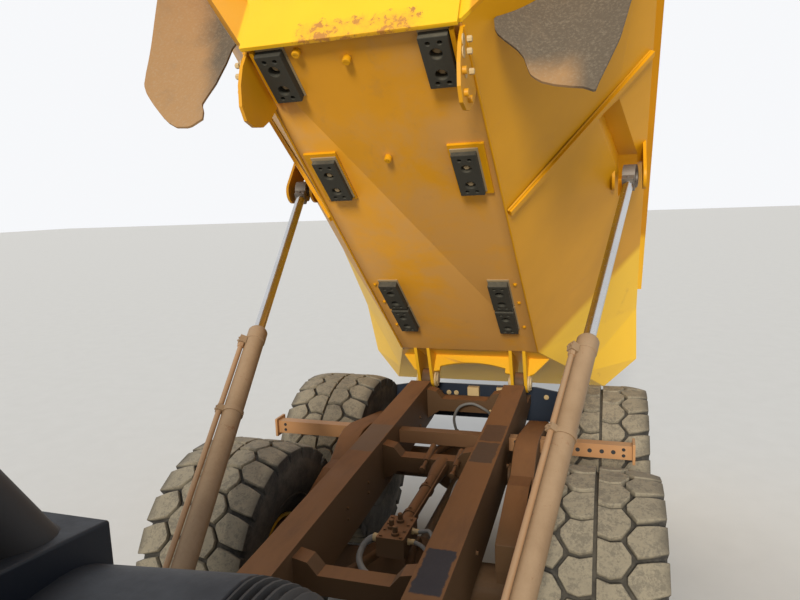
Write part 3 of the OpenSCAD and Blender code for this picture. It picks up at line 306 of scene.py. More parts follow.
class Finish:
    """A material whose nodes are written as expressions."""

    def __init__(self, name):
        self.material = bpy.data.materials.new(name)
        self.material.use_nodes = True
        self.tree = self.material.node_tree
        self.shader = self.tree.nodes["Principled BSDF"]

    def add(self, kind, settings=None, sockets=None, out=0):
        node = self.tree.nodes.new("ShaderNode" + kind)
        for key, value in (settings or {}).items():
            setattr(node, key, value)
        for key, value in (sockets or {}).items():
            self.join(node.inputs[key], value)
        return Value(self, node.outputs[out])

    def join(self, socket, value):
        if isinstance(value, Value):
            self.tree.links.new(value.socket, socket)
        elif isinstance(value, tuple) and socket.type == "RGBA":
            socket.default_value = (*value, 1)
        else:
            socket.default_value = value

    def set(self, **sockets):
        for key, value in sockets.items():
            self.join(self.shader.inputs[key.replace("_", " ")], value)
        return self

    def place(self, stretch=(1, 1, 1)):
        """Coordinates in metres that stay on the piece."""
        here = self.add("TexCoord", out=3)
        if stretch == (1, 1, 1):
            return here
        return self.add("Mapping", {"vector_type": "POINT"}, {"Vector": here, "Scale": stretch})

    def noise(self, scale, detail=4.0, rough=0.6, stretch=(1, 1, 1), warp=0.0, seed=0.0):
        return self.add(
            "TexNoise", {"noise_dimensions": "4D"},
            {"Vector": self.place(stretch), "W": seed, "Scale": scale, "Detail": detail,
             "Roughness": rough, "Distortion": warp})

    def mix(self, amount, a, b):
        """Colour a where amount is 0 and b where it is 1."""
        return self.add(
            "Mix", {"data_type": "RGBA"}, {0: amount, 6: a, 7: b}, out=2)

    def axes(self, of_bed=False):
        """Places in metres on the truck, or along, across and above the bed's floor."""
        here = self.place()
        if of_bed:
            here = self.add(
                "Mapping", {"vector_type": "TEXTURE"},
                {"Vector": here, "Location": tuple(HINGE), "Rotation": (0.0, -BED_ANGLE, 0.0)})
        return tuple(self.add("SeparateXYZ", None, {0: here}, out=i) for i in range(3))

    def upward(self):
        """1 on faces that look up at rest, 0 on walls and -1 on undersides."""
        normal = self.add("TexCoord", out=1)
        return self.add("SeparateXYZ", None, {0: normal}, out=2)

    def facing(self, direction):
        """1 on faces that look that way at rest, -1 on those that look away."""
        normal = self.add("TexCoord", out=1)
        return self.add(
            "VectorMath", {"operation": "DOT_PRODUCT"}, {0: normal, 1: tuple(direction)}, out=1)

    def bump(self, height, strength, distance):
        return self.add("Bump", None, {"Height": height, "Strength": strength, "Distance": distance})


FINISHES = {}
YELLOW = (0.80, 0.43, 0.02)
# Painted highlight: a paler yellow for the bed's tail, as if in sunlight
TAIL_HIGHLIGHT_YELLOW = (0.98, 0.60, 0.035)
PALE_DUST = (0.38, 0.29, 0.18)
FRAME_BROWN = (0.115, 0.060, 0.025)
RUST = (0.17, 0.055, 0.018)


def painted(name, paint, dust, dust_share=0.35, rust_share=0.08, rough=0.45, streaks=0.5, seed=0.0,
            marks=None):
    """Worn paint under dust, with streaks of dirt and spots of rust."""
    f = Finish(name)
    cloud = f.noise(0.9, 6, 0.62, warp=0.4, seed=seed)
    fine = f.noise(38, 5, 0.7, seed=seed + 3)
    streak = f.noise(4.5, 5, 0.65, stretch=(1, 1, 0.22), seed=seed + 5)
    lift = f.upward().above(0.2, 0.95)
    dirt = (cloud * 0.75 + streak * streaks + fine * 0.28 + lift * 0.3).above(
        1.12 - dust_share, 1.5 - dust_share * 0.6)
    spots = f.noise(7.0, 8, 0.75, warp=0.8, seed=seed + 9)
    rust = (spots * 0.7 + fine * 0.45).above(0.86 - rust_share, 0.93 - rust_share * 0.6)
    tone = f.mix(f.noise(2.2, 3, 0.5, seed=seed + 1), paint, tuple(c * 0.78 for c in paint))
    colour = f.mix(dirt * 0.85, tone, dust)
    colour = f.mix(rust * 0.85, colour, RUST)
    if marks:
        colour = marks(f, colour)
    f.set(Base_Color=colour, Roughness=(dirt * 0.35 + rough + rust * 0.2), Specular_IOR_Level=0.25,
          Normal=f.bump(fine * 0.4 + rust * 0.6 + dirt * 0.3, 0.25, 0.004))
    FINISHES[name] = f.material


def plain(name, colour, rough=0.6, metal=0.0, grain=0.15):
    """One colour, broken up by fine and broad noise."""
    f = Finish(name)
    fine = f.noise(30.0, 6, 0.7)
    broad = f.noise(1.6, 4, 0.6, seed=2.0)
    tone = f.mix(broad.above(0.35, 0.75) * 0.5 + fine * 0.3, colour, tuple(c * 0.6 for c in colour))
    f.set(Base_Color=tone, Roughness=(fine * 0.25 + rough - 0.1), Metallic=metal,
          Normal=f.bump(fine, grain, 0.003))
    FINISHES[name] = f.material


def glazing(name):
    """Dusty glass."""
    f = Finish(name)
    dirt = f.noise(3.0, 5, 0.6).above(0.45, 0.8)
    f.set(Base_Color=(0.10, 0.13, 0.14), Roughness=(dirt * 0.25 + 0.05), Alpha=(dirt * 0.25 + 0.55))
    FINISHES[name] = f.material


# Worn or stained places on the rails' tops: from and to along the rail, from and to across,
# their colour and its share
RAIL_MARKS = (
    (2.785, 3.185, 0.410, 0.570, (0.030, 0.034, 0.042), 0.92),
    (0.975, 1.295, 0.405, 0.575, (0.085, 0.050, 0.032), 0.8),
    (1.325, 1.675, 0.400, 0.570, (0.070, 0.050, 0.036), 0.8),
    (1.125, 1.645, -0.535, -0.345, (0.150, 0.105, 0.070), 0.7))


def rail_marks(f, colour):
    """Painted light and some polish from wear on the brown tops, with streaks and worn patches."""
    x, y, z = f.axes()
    ahead = x - REAR_AXLE
    # painted light: the rails' tops lighter brown than their sides, partly polish from wear
    painted_light_tops = f.upward().above(0.6, 0.95) * z.above(1.2, 1.4) * ahead.above(-0.5, -0.3)
    colour = f.mix(painted_light_tops * 0.55, colour, (0.27, 0.115, 0.040))
    streak = f.noise(6.0, 5, 0.7, stretch=(0.25, 1, 1), seed=12).above(0.45, 0.7)
    colour = f.mix(painted_light_tops * streak * 0.45, colour, (0.11, 0.055, 0.030))
    edge = f.noise(14.0, 4, 0.6, seed=13) * 0.05
    for x0, x1, y0, y1, tone, share in RAIL_MARKS:
        mark = (ahead + edge).within(x0, x1, 0.008) * (y + edge).within(y0, y1, 0.006)
        colour = f.mix(mark * painted_light_tops * share, colour, tone)
    return colour


def worn_inside(f, colour, inside, h):
    """Paint that loads have ground off the inner faces, most of all low down."""
    cloud = f.noise(1.3, 7, 0.65, warp=0.8, seed=111)
    grit = f.noise(24.0, 6, 0.7, seed=113)
    bare = inside.above(0.15, 0.35) * (cloud * 0.8 + grit * 0.25 - h * 0.34).above(0.02, 0.24)
    steel = f.mix(cloud.above(0.35, 0.65), (0.13, 0.105, 0.080), (0.29, 0.205, 0.120))
    return f.mix(bare * 0.92, colour, f.mix(grit.above(0.5, 0.7) * 0.5, steel, (0.20, 0.085, 0.035)))


def side_marks(f, colour):
    """Worn sides, with a painted highlight on the tail."""
    s, y, h = f.axes(of_bed=True)
    cloud = f.noise(1.7, 5, 0.6, warp=0.5, seed=61)
    # painted highlight: the tail's facets in a paler yellow, as if in sunlight
    tail_highlight = (1 - (s + (cloud - 0.5) * 0.08).above(0.30, 0.44)) * 0.8
    colour = f.mix(tail_highlight, colour, TAIL_HIGHLIGHT_YELLOW)
    low = (1 - (h - y.size() * 0.9 + 0.75).above(0.05, 0.35)) * (1 - tail_highlight)
    colour = f.mix(low * cloud.above(0.35, 0.6) * 0.35, colour, (0.44, 0.21, 0.05))
    worn = f.noise(3.2, 7, 0.7, warp=0.7, seed=63).above(0.58, 0.72)
    colour = f.mix(worn * 0.35, colour, (0.55, 0.24, 0.035))
    specks = f.noise(60.0, 4, 0.7, seed=65).above(0.69, 0.74)
    colour = f.mix(specks * 0.5, colour, (0.30, 0.14, 0.03))
    left = y.above(-0.001, 0.001) * 2 - 1
    inside = (f.facing(BED_UP) - f.facing((0, 1, 0)) * left) * h.above(0.13, 0.17)
    return worn_inside(f, colour, inside, h)


def bar_marks(f, colour):
    """A bar with painted shade on its middle between the rails, and a dark stain on each arm."""
    x, y, z = f.axes()
    # painted shade: the bar's middle between the rails in dark brown
    shade = 1 - y.size().above(0.56, 0.64)
    colour = f.mix(shade * 0.8, colour, (0.14, 0.070, 0.035))
    near = 1 - (y.size() - 1.0).size().above(0.25, 0.52)
    return f.mix(near * 0.35, colour, (0.30, 0.15, 0.07))


def floor_marks(f, colour):
    """Brown dust, smears and dark edges, and a painted highlight on the tail."""
    s, y, h = f.axes(of_bed=True)
    cloud = f.noise(1.3, 6, 0.65, warp=0.6, seed=71)
    brown = (cloud + (1 - s.above(0.8, 3.6)) * 0.10 + (y + 0.3).size() * 0.08).above(0.44, 0.66)
    colour = f.mix(brown * 0.66, colour, (0.60, 0.325, 0.110))
    smear = f.noise(5.0, 6, 0.7, stretch=(0.5, 1, 1), warp=0.5, seed=73).above(0.56, 0.78)
    colour = f.mix(smear * 0.36, colour, (0.40, 0.225, 0.090))
    edge = (y.size() - 0.60 + s * 0.004).above(-0.03, 0.06) * (1 - h.above(0.15, 0.2))
    colour = f.mix(edge * 0.25, colour, (0.16, 0.08, 0.03))
    # painted highlight: the tail's floor in a paler yellow, as if in sunlight
    colour = f.mix((1 - s.above(0.30, 0.42)) * 0.85, colour, TAIL_HIGHLIGHT_YELLOW)
    return worn_inside(f, colour, f.facing(BED_UP), 0.0)


def front_marks(f, colour):
    """Flaking rust low on the front plate, and its duller wings."""
    s, y, h = f.axes(of_bed=True)
    flakes = f.noise(16.0, 8, 0.78, warp=0.6, seed=81)
    low = (1 - h.above(0.16, 0.36)) * (y - 0.05).within(-0.38, 0.42, 0.12)
    rust = (flakes + low * 0.22).above(0.72, 0.78)
    colour = f.mix(rust * 0.9, colour, (0.23, 0.075, 0.050))
    stain = (flakes * 0.6 + low * 0.5).above(0.62, 0.85)
    colour = f.mix(stain * 0.5, colour, (0.62, 0.27, 0.03))
    specks = f.noise(55.0, 4, 0.7, seed=83).above(0.70, 0.76)
    colour = f.mix(specks * 0.5, colour, (0.35, 0.16, 0.03))
    # the plate's wings over the slopes are as worn as the sides
    wing = (y.size() - 0.648 - h * 0.01).above(0.0, 0.02)
    colour = f.mix(wing, colour, (0.62, 0.27, 0.008))
    return worn_inside(f, colour, f.facing(-BED_ALONG), h)


def flap_marks(f, colour):
    """Tan dust over grey rubber, which lies otherwise on each side; on the flap at negative y the grey over
    its inner part is painted shade.
    """
    s, y, h = f.axes(of_bed=True)
    broad = f.noise(3.0, 5, 0.6, stretch=(1, 1, 0.35), warp=0.8, seed=91)
    tan, grey = (0.34, 0.195, 0.085), (0.088, 0.076, 0.058)
    right = y.above(-0.1, 0.1)
    # painted shade: grey over the inner part of the flap at negative y, for its face that turns away
    turned_away_shade = 1 - ((y.size() - 0.88 - h * 0.40) + (broad - 0.5) * 0.35).above(-0.08, 0.14)
    light_right = (1 - (h + (broad - 0.5) * 0.4).above(-0.10, 0.16)) * (1 - y.above(1.10, 1.24))
    grey_share = (1 - right) * turned_away_shade * 0.92 + right * (1 - light_right) * 0.9
    colour = f.mix(grey_share, tan, grey)
    speck = f.noise(60.0, 5, 0.75, seed=93).above(0.45, 0.72)
    colour = f.mix(speck * 0.30, colour, (0.40, 0.33, 0.23))
    drips = f.noise(9.0, 4, 0.6, stretch=(1, 1, 0.12), seed=95).above(0.5, 0.7)
    return f.mix(drips * 0.22, colour, (0.20, 0.14, 0.085))


def tyre_finish(name):
    """Rubber with pale dust on the blocks and dark grooves."""
    f = Finish(name)
    x, y, z = f.axes()
    off = (x - REAR_AXLE).size().least((x - MID_AXLE).size()).least((x - FRONT_AXLE).size())
    up = z - TYRE_R
    r = (off * off + up * up) ** 0.5
    fine = f.noise(70.0, 6, 0.75)
    cloud = f.noise(4.0, 5, 0.65, warp=0.5, seed=3)
    caked = f.noise(18.0, 6, 0.7, warp=0.4, seed=5)
    top = r.above(0.800, 0.838)
    dust = (top * 0.55 + cloud * 0.45 + caked * 0.25).above(0.30, 1.0)
    colour = f.mix(dust, (0.030, 0.027, 0.023), (0.30, 0.255, 0.175))
    pits = (caked * 0.6 + fine * 0.5 + cloud * 0.2).above(0.60, 0.74)
    colour = f.mix(pits * 0.55, colour, (0.085, 0.075, 0.060))
    scuffs = f.noise(9.0, 8, 0.8, warp=0.9, seed=8).above(0.54, 0.66)
    colour = f.mix(scuffs * 0.40, colour, (0.12, 0.102, 0.076))
    wall = (1 - r.above(0.70, 0.80)) * r.above(0.34, 0.42)
    colour = f.mix(wall * cloud.above(0.35, 0.7) * 0.5, colour, (0.14, 0.12, 0.09))
    f.set(Base_Color=colour, Roughness=(fine * 0.15 + 0.82),
          Normal=f.bump(caked * 0.8 + fine * 0.5, 0.55, 0.006))
    FINISHES[name] = f.material


def make_finishes():
    """Every finish, in the order in which their materials are made."""
    painted("yellow", YELLOW, PALE_DUST, 0.12, 0.03)
    painted("bed side", (0.74, 0.340, 0.005), (0.52, 0.25, 0.05), 0.06, 0.0, seed=4, marks=side_marks)
    painted("bed floor", (0.82, 0.370, 0.022), (0.64, 0.335, 0.085), 0.30, 0.02, seed=7,
            marks=floor_marks)
    painted("frame", FRAME_BROWN, (0.17, 0.10, 0.055), 0.35, 0.16, rough=0.6, seed=11,
            marks=rail_marks)
    painted("rusty bar", (0.50, 0.255, 0.105), (0.46, 0.29, 0.16), 0.35, 0.2, seed=13,
            marks=bar_marks)
    painted("deck", (0.007, 0.010, 0.017), (0.034, 0.034, 0.036), 0.2, 0.0, rough=0.5, seed=17)
    painted("barrel", (0.27, 0.170, 0.090), (0.38, 0.26, 0.155), 0.45, 0.22, seed=19)
    painted("exhaust", (0.15, 0.12, 0.10), (0.25, 0.2, 0.15), 0.2, 0.2, rough=0.6, seed=23)
    plain("chrome", (0.62, 0.62, 0.62), rough=0.22, metal=1.0, grain=0.02)
    plain("steel", (0.25, 0.22, 0.19), rough=0.55, metal=0.6)
    painted("rubber pad", (0.050, 0.047, 0.036), (0.17, 0.15, 0.105), 0.30, 0.0, rough=0.75, seed=49)
    tyre_finish("tyre")
    painted("pipe", (0.40, 0.225, 0.11), (0.34, 0.24, 0.15), 0.35, 0.2, rough=0.5, seed=43)
    painted("duct", (0.034, 0.032, 0.032), (0.075, 0.068, 0.062), 0.35, 0.05, rough=0.6, seed=47)
    plain("black plastic", (0.02, 0.02, 0.02), rough=0.6)
    plain("engine", (0.14, 0.14, 0.13), rough=0.6)
    plain("lamp", (0.8, 0.8, 0.76), rough=0.12, grain=0.0)
    plain("red lens", (0.35, 0.02, 0.015), rough=0.15, grain=0.0)
    plain("hose", (0.20, 0.19, 0.17), rough=0.7)
    painted("flap", (0.115, 0.098, 0.075), (0.42, 0.25, 0.14), 0.3, 0.0, rough=0.8, seed=29,
            marks=flap_marks)
    painted("front plate", (0.93, 0.53, 0.013), (0.8, 0.5, 0.08), 0.02, 0.0, rough=0.42, seed=31,
            marks=front_marks)
    painted("cream", (0.62, 0.45, 0.22), (0.5, 0.35, 0.2), 0.3, 0.2, seed=37)
    painted("pad steel", (0.40, 0.30, 0.17), (0.30, 0.20, 0.11), 0.4, 0.2, seed=41)
    # the tail plate's dark blue is painted shade with a painted sky reflection
    painted("tail plate", (0.028, 0.036, 0.052), (0.10, 0.09, 0.085), 0.25, 0.03, rough=0.3, seed=53)
    glazing("glass")


NODE_FINISH = {node: finish for finish, nodes in {
    "yellow": "front_bumper front_fenders cab_shell engine_hood cab_door bed_hinge_frame",
    "bed side": "bed_side_left bed_side_right bed_guides",
    "bed floor": "bed_floor",
    "front plate": "bed_front_wall",
    "frame": "front_frame hitch_ears hoist_seats access_ladders handrails front_axle hitch_yoke "
             "steer_barrel_left steer_barrel_right rear_frame bogie_axles walking_beams",
    "rusty bar": "cross_bar",
    "deck": "rear_deck",
    "barrel": "hoist_barrel_left hoist_barrel_right",
    "exhaust": "exhaust_stack",
    "chrome": "steer_rod_left steer_rod_right hoist_rod_left hoist_rod_right",
    "steel": "drive_shafts",
    "rubber pad": "bed_pads mud_flaps",
    "black plastic": "cab_interior mirrors hood_grille",
    "engine": "engine_block",
    "lamp": "head_lamps",
    "red lens": "tail_lamps",
    "hose": "frame_hoses",
    "glass": "cab_glass door_glass",
}.items() for node in nodes.split()}
for wheel, _, _ in WHEELS:
    NODE_FINISH["tyre_" + wheel] = "tyre"
    NODE_FINISH["rim_" + wheel] = "yellow"
SMALL_EDGES = ("cab_glass", "door_glass", "hood_grille", "frame_hoses", "head_lamps", "tail_lamps")


def dress_nodes():
    """Give each CAD node its finish and its bevelled edges."""
    for name, node in NODES.items():
        node.data.materials.clear()
        node.data.materials.append(FINISHES[NODE_FINISH[name]])
        weld = node.modifiers.new("weld", "WELD")
        weld.merge_threshold = 0.0002
        edges = node.modifiers.new("edges", "BEVEL")
        edges.width = 0.001 if name in SMALL_EDGES else 0.005
        edges.segments = 2
        edges.limit_method = "ANGLE"
        edges.angle_limit = math.radians(17)
        edges.harden_normals = True


# Tyres: for each kind of block, how far from the tyre's middle each of its cross-sections
# lies, how far ahead its middle stands there, and its half length along the tread
PITCHES = 24
SHOULDER_BLOCK = (
    (0.386, 0.046, 0.086), (0.340, 0.034, 0.092), (0.290, 0.018, 0.095), (0.222, 0.000, 0.094),
    (0.170, 0.000, 0.018))
MIDDLE_BLOCK = (
    (0.190, 0.000, 0.022), (0.140, -0.002, 0.096), (0.080, -0.014, 0.099), (0.011, 0.006, 0.098))
# Half the carcass from the rim to the middle of the tread: across and radius
CARCASS = (
    (0.272, 0.326), (0.292, 0.345), (0.326, 0.400), (0.350, 0.460), (0.356, 0.468), (0.352, 0.476),
    (0.374, 0.540), (0.384, 0.610), (0.385, 0.680), (0.378, 0.735), (0.362, 0.775), (0.335, 0.797),
    (0.280, 0.806), (0.150, 0.811), (0.0, 0.812))
TYRE_R = 0.855
# From the truck's middle to a wheel's
WHEEL_OUT = 1.265


def tread_radius(y):
    """Radius of the tread, which falls off towards its shoulders."""
    return TYRE_R - 0.032 * max(0.0, (abs(y) - 0.16) / 0.226) ** 2


def make_tyre(wheel, x, side):
    """A carcass with two rows of blocks on each side, each block worn a little differently."""
    tyre = Shape(Matrix.Translation((x, side * WHEEL_OUT, TYRE_R)))
    tyre.hoop(list(CARCASS) + [(-y, r) for y, r in reversed(CARCASS[:-1])], "y", 120)
    chance = random.Random(wheel)
    for across in (1, -1):
        for kind, turn in ((SHOULDER_BLOCK, 0.5), (MIDDLE_BLOCK, 0.0)):
            for k in range(PITCHES):
                start = 2 * math.pi * (k + turn + 0.25 * across) / PITCHES
                wear = chance.uniform(-0.003, 0.003)
                rings = []
                for y, lead, length in kind:
                    top = tread_radius(y) - 0.004 + wear
                    # its foot stands in the carcass, which is lower at the shoulder
                    foot = 0.700 if y > 0.38 else 0.760 if y > 0.34 else 0.800
                    inset = 0.010 if y > 0.38 else 0.0
                    ring = []
                    for r, end, more in ((foot, -1, 0.006), (top - 0.006, -1, 0.0), (top, -1, -0.005),
                                         (top, 1, -0.005), (top - 0.006, 1, 0.0), (foot, 1, 0.006)):
                        u = start + (side * lead + end * (length + more)) / TYRE_R
                        out = y - (inset if r == foot else 0.0)
                        ring.append((r * math.cos(u), across * out, r * math.sin(u)))
                    rings.append(ring)
                tyre.loft(rings)
    tyre.done("tread_" + wheel, "tyre", "wheel_" + wheel, "tyre", bevel=0.0035, angle=40,
              replaces=("tyre_" + wheel,))


def make_wheel_nuts(wheel, x, side):
    """Nuts on the rim and the hub, the hub's cap, the lock rings and the valve."""
    nuts = Shape(Matrix.Translation((x, side * WHEEL_OUT, TYRE_R)))
    for u in around(20):
        nuts.bolt((0.262 * math.cos(u), side * 0.100, 0.262 * math.sin(u)), (0, side, 0), 0.015)
    for u in around(12):
        nuts.bolt((0.120 * math.cos(u), side * 0.293, 0.120 * math.sin(u)), (0, side, 0), 0.010)
    nuts.turned((0, side * 0.297, 0), (0, side, 0), (
        (0, 0.055), (0.012, 0.055), (0.018, 0.045), (0.0185, 0)))
    for r, width in ((0.332, 0.020), (0.318, 0.012)):
        y0, y1 = side * 0.281, side * (0.281 + width)
        nuts.hoop(((y0, r), (y0, r + 0.010), (y1, r + 0.010), (y1, r)), "y", 64)
    u = math.radians(70)
    nuts.rod((0.30 * math.cos(u), side * 0.262, 0.30 * math.sin(u)),
             (0.275 * math.cos(u), side * 0.330, 0.275 * math.sin(u)), 0.006, sides=8)
    nuts.done("wheel_nuts_" + wheel, "steel", "wheel_" + wheel, "steel", bevel=0.001)


def slope_height(s, y):
    """Height of the sloped side's outer face over the floor line."""
    t = (s - 0.410) / 3.660
    foot = 0.676 - 0.056 * t
    return FLOOR_H + (1.239 + 0.045 * t) * (abs(y) - foot) / (1.610 - foot)


# Flaps: how far their inner and outer edges lie from the bed's middle at each height
FLAP_INNER = {
    1: ((-0.200, 1.250), (-0.165, 1.210), (-0.135, 1.120), (-0.105, 1.020), (-0.060, 0.955),
        (-0.010, 0.935), (0.070, 0.910), (0.125, 0.870), (0.165, 0.810), (0.200, 0.765), (0.330, 0.745)),
    -1: ((-0.205, 0.945), (-0.195, 0.860), (-0.120, 0.885), (-0.040, 0.935), (0.030, 0.915),
         (0.110, 0.885), (0.300, 0.880), (0.460, 0.900))}
FLAP_OUTER = {
    1: ((-0.200, 1.262), (-0.150, 1.275), (-0.020, 1.320), (0.130, 1.370), (0.360, 1.415),
        (0.700, 1.490), (1.150, 1.560)),
    -1: ((-0.205, 0.980), (-0.190, 1.060), (-0.150, 1.130), (-0.100, 1.190), (0.000, 1.290),
         (0.080, 1.360), (0.150, 1.402), (0.260, 1.430), (0.660, 1.510), (0.900, 1.555), (1.150, 1.575))}


def flap_place(y, h):
    """How far along the bed the flap's face lies."""
    bend = 1.0 if y < 1.08 else 0.6
    return 3.860 + bend * (y - 1.08) ** 2 - 0.012 + 0.012 * math.sin(4.5 * h + 2.0 * y)


def read_off(table, h):
    """What a table of heights and distances gives at a height."""
    for (h0, y0), (h1, y1) in zip(table, table[1:]):
        if h <= h1:
            return y0 + (y1 - y0) * max(0.0, (h - h0) / (h1 - h0))
    return table[-1][1]


def make_flap(side, letter, sign, mirror):
    """A hanging rubber flap: a bent sheet with a rounded rim."""
    flap = Shape(mirror @ BED_TURN)
    rows, columns, thick, highest = 52, 26, 0.014, 1.140
    bottom = FLAP_INNER[sign][0][0]
    grid = []
    for i in range(rows + 1):
        h = bottom + (highest - bottom) * (i / rows) ** 1.1
        outer = read_off(FLAP_OUTER[sign], h)
        inner = read_off(FLAP_INNER[sign], h)
        if h > 0.16:
            # the top follows the slope that the flap hangs from
            low, high = 0.62, 1.60
            for _ in range(24):
                y = (low + high) / 2
                low, high = (y, high) if slope_height(flap_place(y, h), y) - 0.004 < h else (low, y)
            inner = max(low, inner if h < 0.46 else low)
        row = []
        for j in range(columns + 1):
            y = inner + (outer - inner) * j / columns
            row.append((flap_place(y, h), y, h))
        grid.append(row)
    front, back = ([[flap.mesh.verts.new(flap.turn @ Vector((s - behind, y, h))) for s, y, h in row]
                    for row in grid] for behind in (0, thick))
    for i in range(rows):
        for j in range(columns):
            flap.mesh.faces.new((front[i][j], front[i][j + 1], front[i + 1][j + 1], front[i + 1][j]))
            flap.mesh.faces.new((back[i][j], back[i + 1][j], back[i + 1][j + 1], back[i][j + 1]))
    rim = ([(0, j) for j in range(columns)] + [(i, columns) for i in range(rows)]
           + [(rows, j) for j in range(columns, 0, -1)] + [(i, 0) for i in range(rows, 0, -1)])
    for (i, j), (m, n) in zip(rim, rim[1:] + rim[:1]):
        flap.mesh.faces.new((front[i][j], back[i][j], back[m][n], front[m][n]))
    bmesh.ops.remove_doubles(flap.mesh, verts=flap.mesh.verts[:], dist=0.0004)
    piece = flap.done("mud_flap_" + side, "flap", "bed", "rubber", bevel=0.004, angle=50,
                      replaces=("mud_flaps",) if sign > 0 else ())
    if sign < 0:
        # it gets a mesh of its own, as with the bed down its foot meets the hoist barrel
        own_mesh(piece)


# Pads: from and to along the floor, and the height of the floor there
PAD_ROWS = ((3.720, 4.050, 0.146), (2.810, 3.190, 0.128), (1.290, 1.670, 0.146), (0.870, 1.250, 0.146))
PAD_ACROSS = (0.388, 0.549)
PAD_FACE = 0.0862
# Holes in a pad: how far along and across it, as shares of its size, and their radius
PAD_HOLES = ((0.10, 0.30, 0.013), (0.10, 0.70, 0.013), (0.27, 0.50, 0.034), (0.68, 0.50, 0.034),
             (0.88, 0.30, 0.013), (0.88, 0.70, 0.013))


def make_pads():
    """Rubber pads on steel plates, whose bolts show in the pads' holes."""
    pads, plates = Shape(BED_TURN), Shape(BED_TURN)
    for sign in (1, -1):
        y0, y1 = (sign * y for y in PAD_ACROSS)
        for start, end, base in PAD_ROWS:
            holes = [(start + (end - start) * a, y0 + (y1 - y0) * b, r) for a, b, r in PAD_HOLES]
            outline = [(start, y0), (end, y0), (end, y1), (start, y1)]
            pads.plate(outline, base - 0.008 - PAD_FACE, Matrix.Translation((0, 0, PAD_FACE)), holes)
            plates.block((start - 0.002, min(y0, y1) - 0.006, base - 0.0082),
                         (end + 0.022, max(y0, y1) + 0.010, base - 0.0004))
            for x, y, r in holes:
                plates.bolt((x, y, base - 0.0082), (0, 0, -1), r * 0.55, washer=r > 0.02)
    pads.done("pads", "rubber pad", "bed", "rubber", bevel=0.004, replaces=("bed_pads",))
    plates.done("pad_plates", "pad steel", "bed", "dark_frame", bevel=0.001)


# Hoists, from the lower pin along the barrel. The barrel's wall is a closed outline: outside,
# and then back along the bore.
BARREL_WALL = (
    (0.088, 0.030), (0.088, 0.052), (0.128, 0.056), (0.158, 0.064), (0.173, 0.067), (2.588, 0.067),
    (2.592, 0.072), (2.688, 0.072), (2.700, 0.066), (2.710, 0.058), (2.710, 0.043), (2.650, 0.043),
    (2.650, 0.0625), (0.188, 0.0625), (0.188, 0.030))
BARREL_BANDS = (0.810, 1.930)
# Clamps of the oil pipe: place, width and reach
PIPE_CLAMPS = ((0.185, 0.060, 0.116), (0.810, 0.044, 0.112), (1.925, 0.044, 0.112), (2.535, 0.060, 0.116))
ROD_LENGTH = 2.950
ROD = ((0, 0.060), (0.060, 0.060), (0.061, 0.041), (2.860, 0.041), (2.875, 0.046), (2.900, 0.047))


def make_hoist(side, letter, sign, mirror):
    """Barrel with its bands, clamps and oil pipe, and the rod with its eye."""
    along = mirror @ turned_along(LOW_PIN, TOP_PIN)
    round_barrel = math.radians(48 if sign > 0 else 148)
    barrel = Shape(along)
    barrel.hoop(((-0.050, 0.052), (-0.050, 0.104), (0.050, 0.104), (0.050, 0.052)), "y", 40)
    barrel.hoop(BARREL_WALL, "x", 40)
    for x in BARREL_BANDS:
        barrel.hoop(((x, 0.0665), (x, 0.074), (x + 0.034, 0.074), (x + 0.034, 0.0665)), "x", 40)
    barrel.turn = along @ Matrix.Rotation(round_barrel, 4, "X")
    for x, width, out in PIPE_CLAMPS:
        barrel.block((x, 0.0645, -0.028), (x + width, out, 0.028))
        for z in (-0.017, 0.017):
            barrel.bolt((x + width / 2, out, z), (0, 1, 0), 0.008)
    barrel.done("barrel_" + side, "barrel", "hoist_barrel_" + letter, "dark_frame", bevel=0.002,
                replaces=("hoist_barrel_" + side,))
    pipe = Shape(along)
    pipe_at = Vector((0, 0.090 * math.cos(round_barrel), 0.090 * math.sin(round_barrel)))
    pipe.tube([pipe_at + Vector((x, 0, 0)) for x in (0.21, 0.30, 1.40, 2.44, 2.56)], 0.018, 16)
    for x in (0.245, 2.500):
        pipe.tube([pipe_at + Vector((x, 0, 0)), pipe_at + Vector((x + 0.032, 0, 0))], 0.025, 6)
    pipe.done("oil_pipe_" + side, "pipe", "hoist_barrel_" + letter, "steel", bevel=0.001)
    rod = Shape(along)
    rod.turned((HOIST_LENGTH - ROD_LENGTH, 0, 0), (1, 0, 0), ROD, 40)
    rod.done("rod_" + side, "chrome", "hoist_rod_" + letter, "chrome", bevel=0.0008,
             replaces=("hoist_rod_" + side,))
    head = Shape(along @ Matrix.Translation((HOIST_LENGTH, 0, 0)))
    head.hoop(((-0.050, 0.052), (-0.050, 0.094), (0.050, 0.094), (0.050, 0.052)), "y", 40)
    head.block((-0.125, -0.046, -0.060), (-0.070, 0.046, 0.060))
    head.bolt((-0.098, 0, 0.060), (0, 0, 1), 0.009)
    head.done("rod_eye_" + side, "steel", "hoist_rod_" + letter, "steel", bevel=0.003)


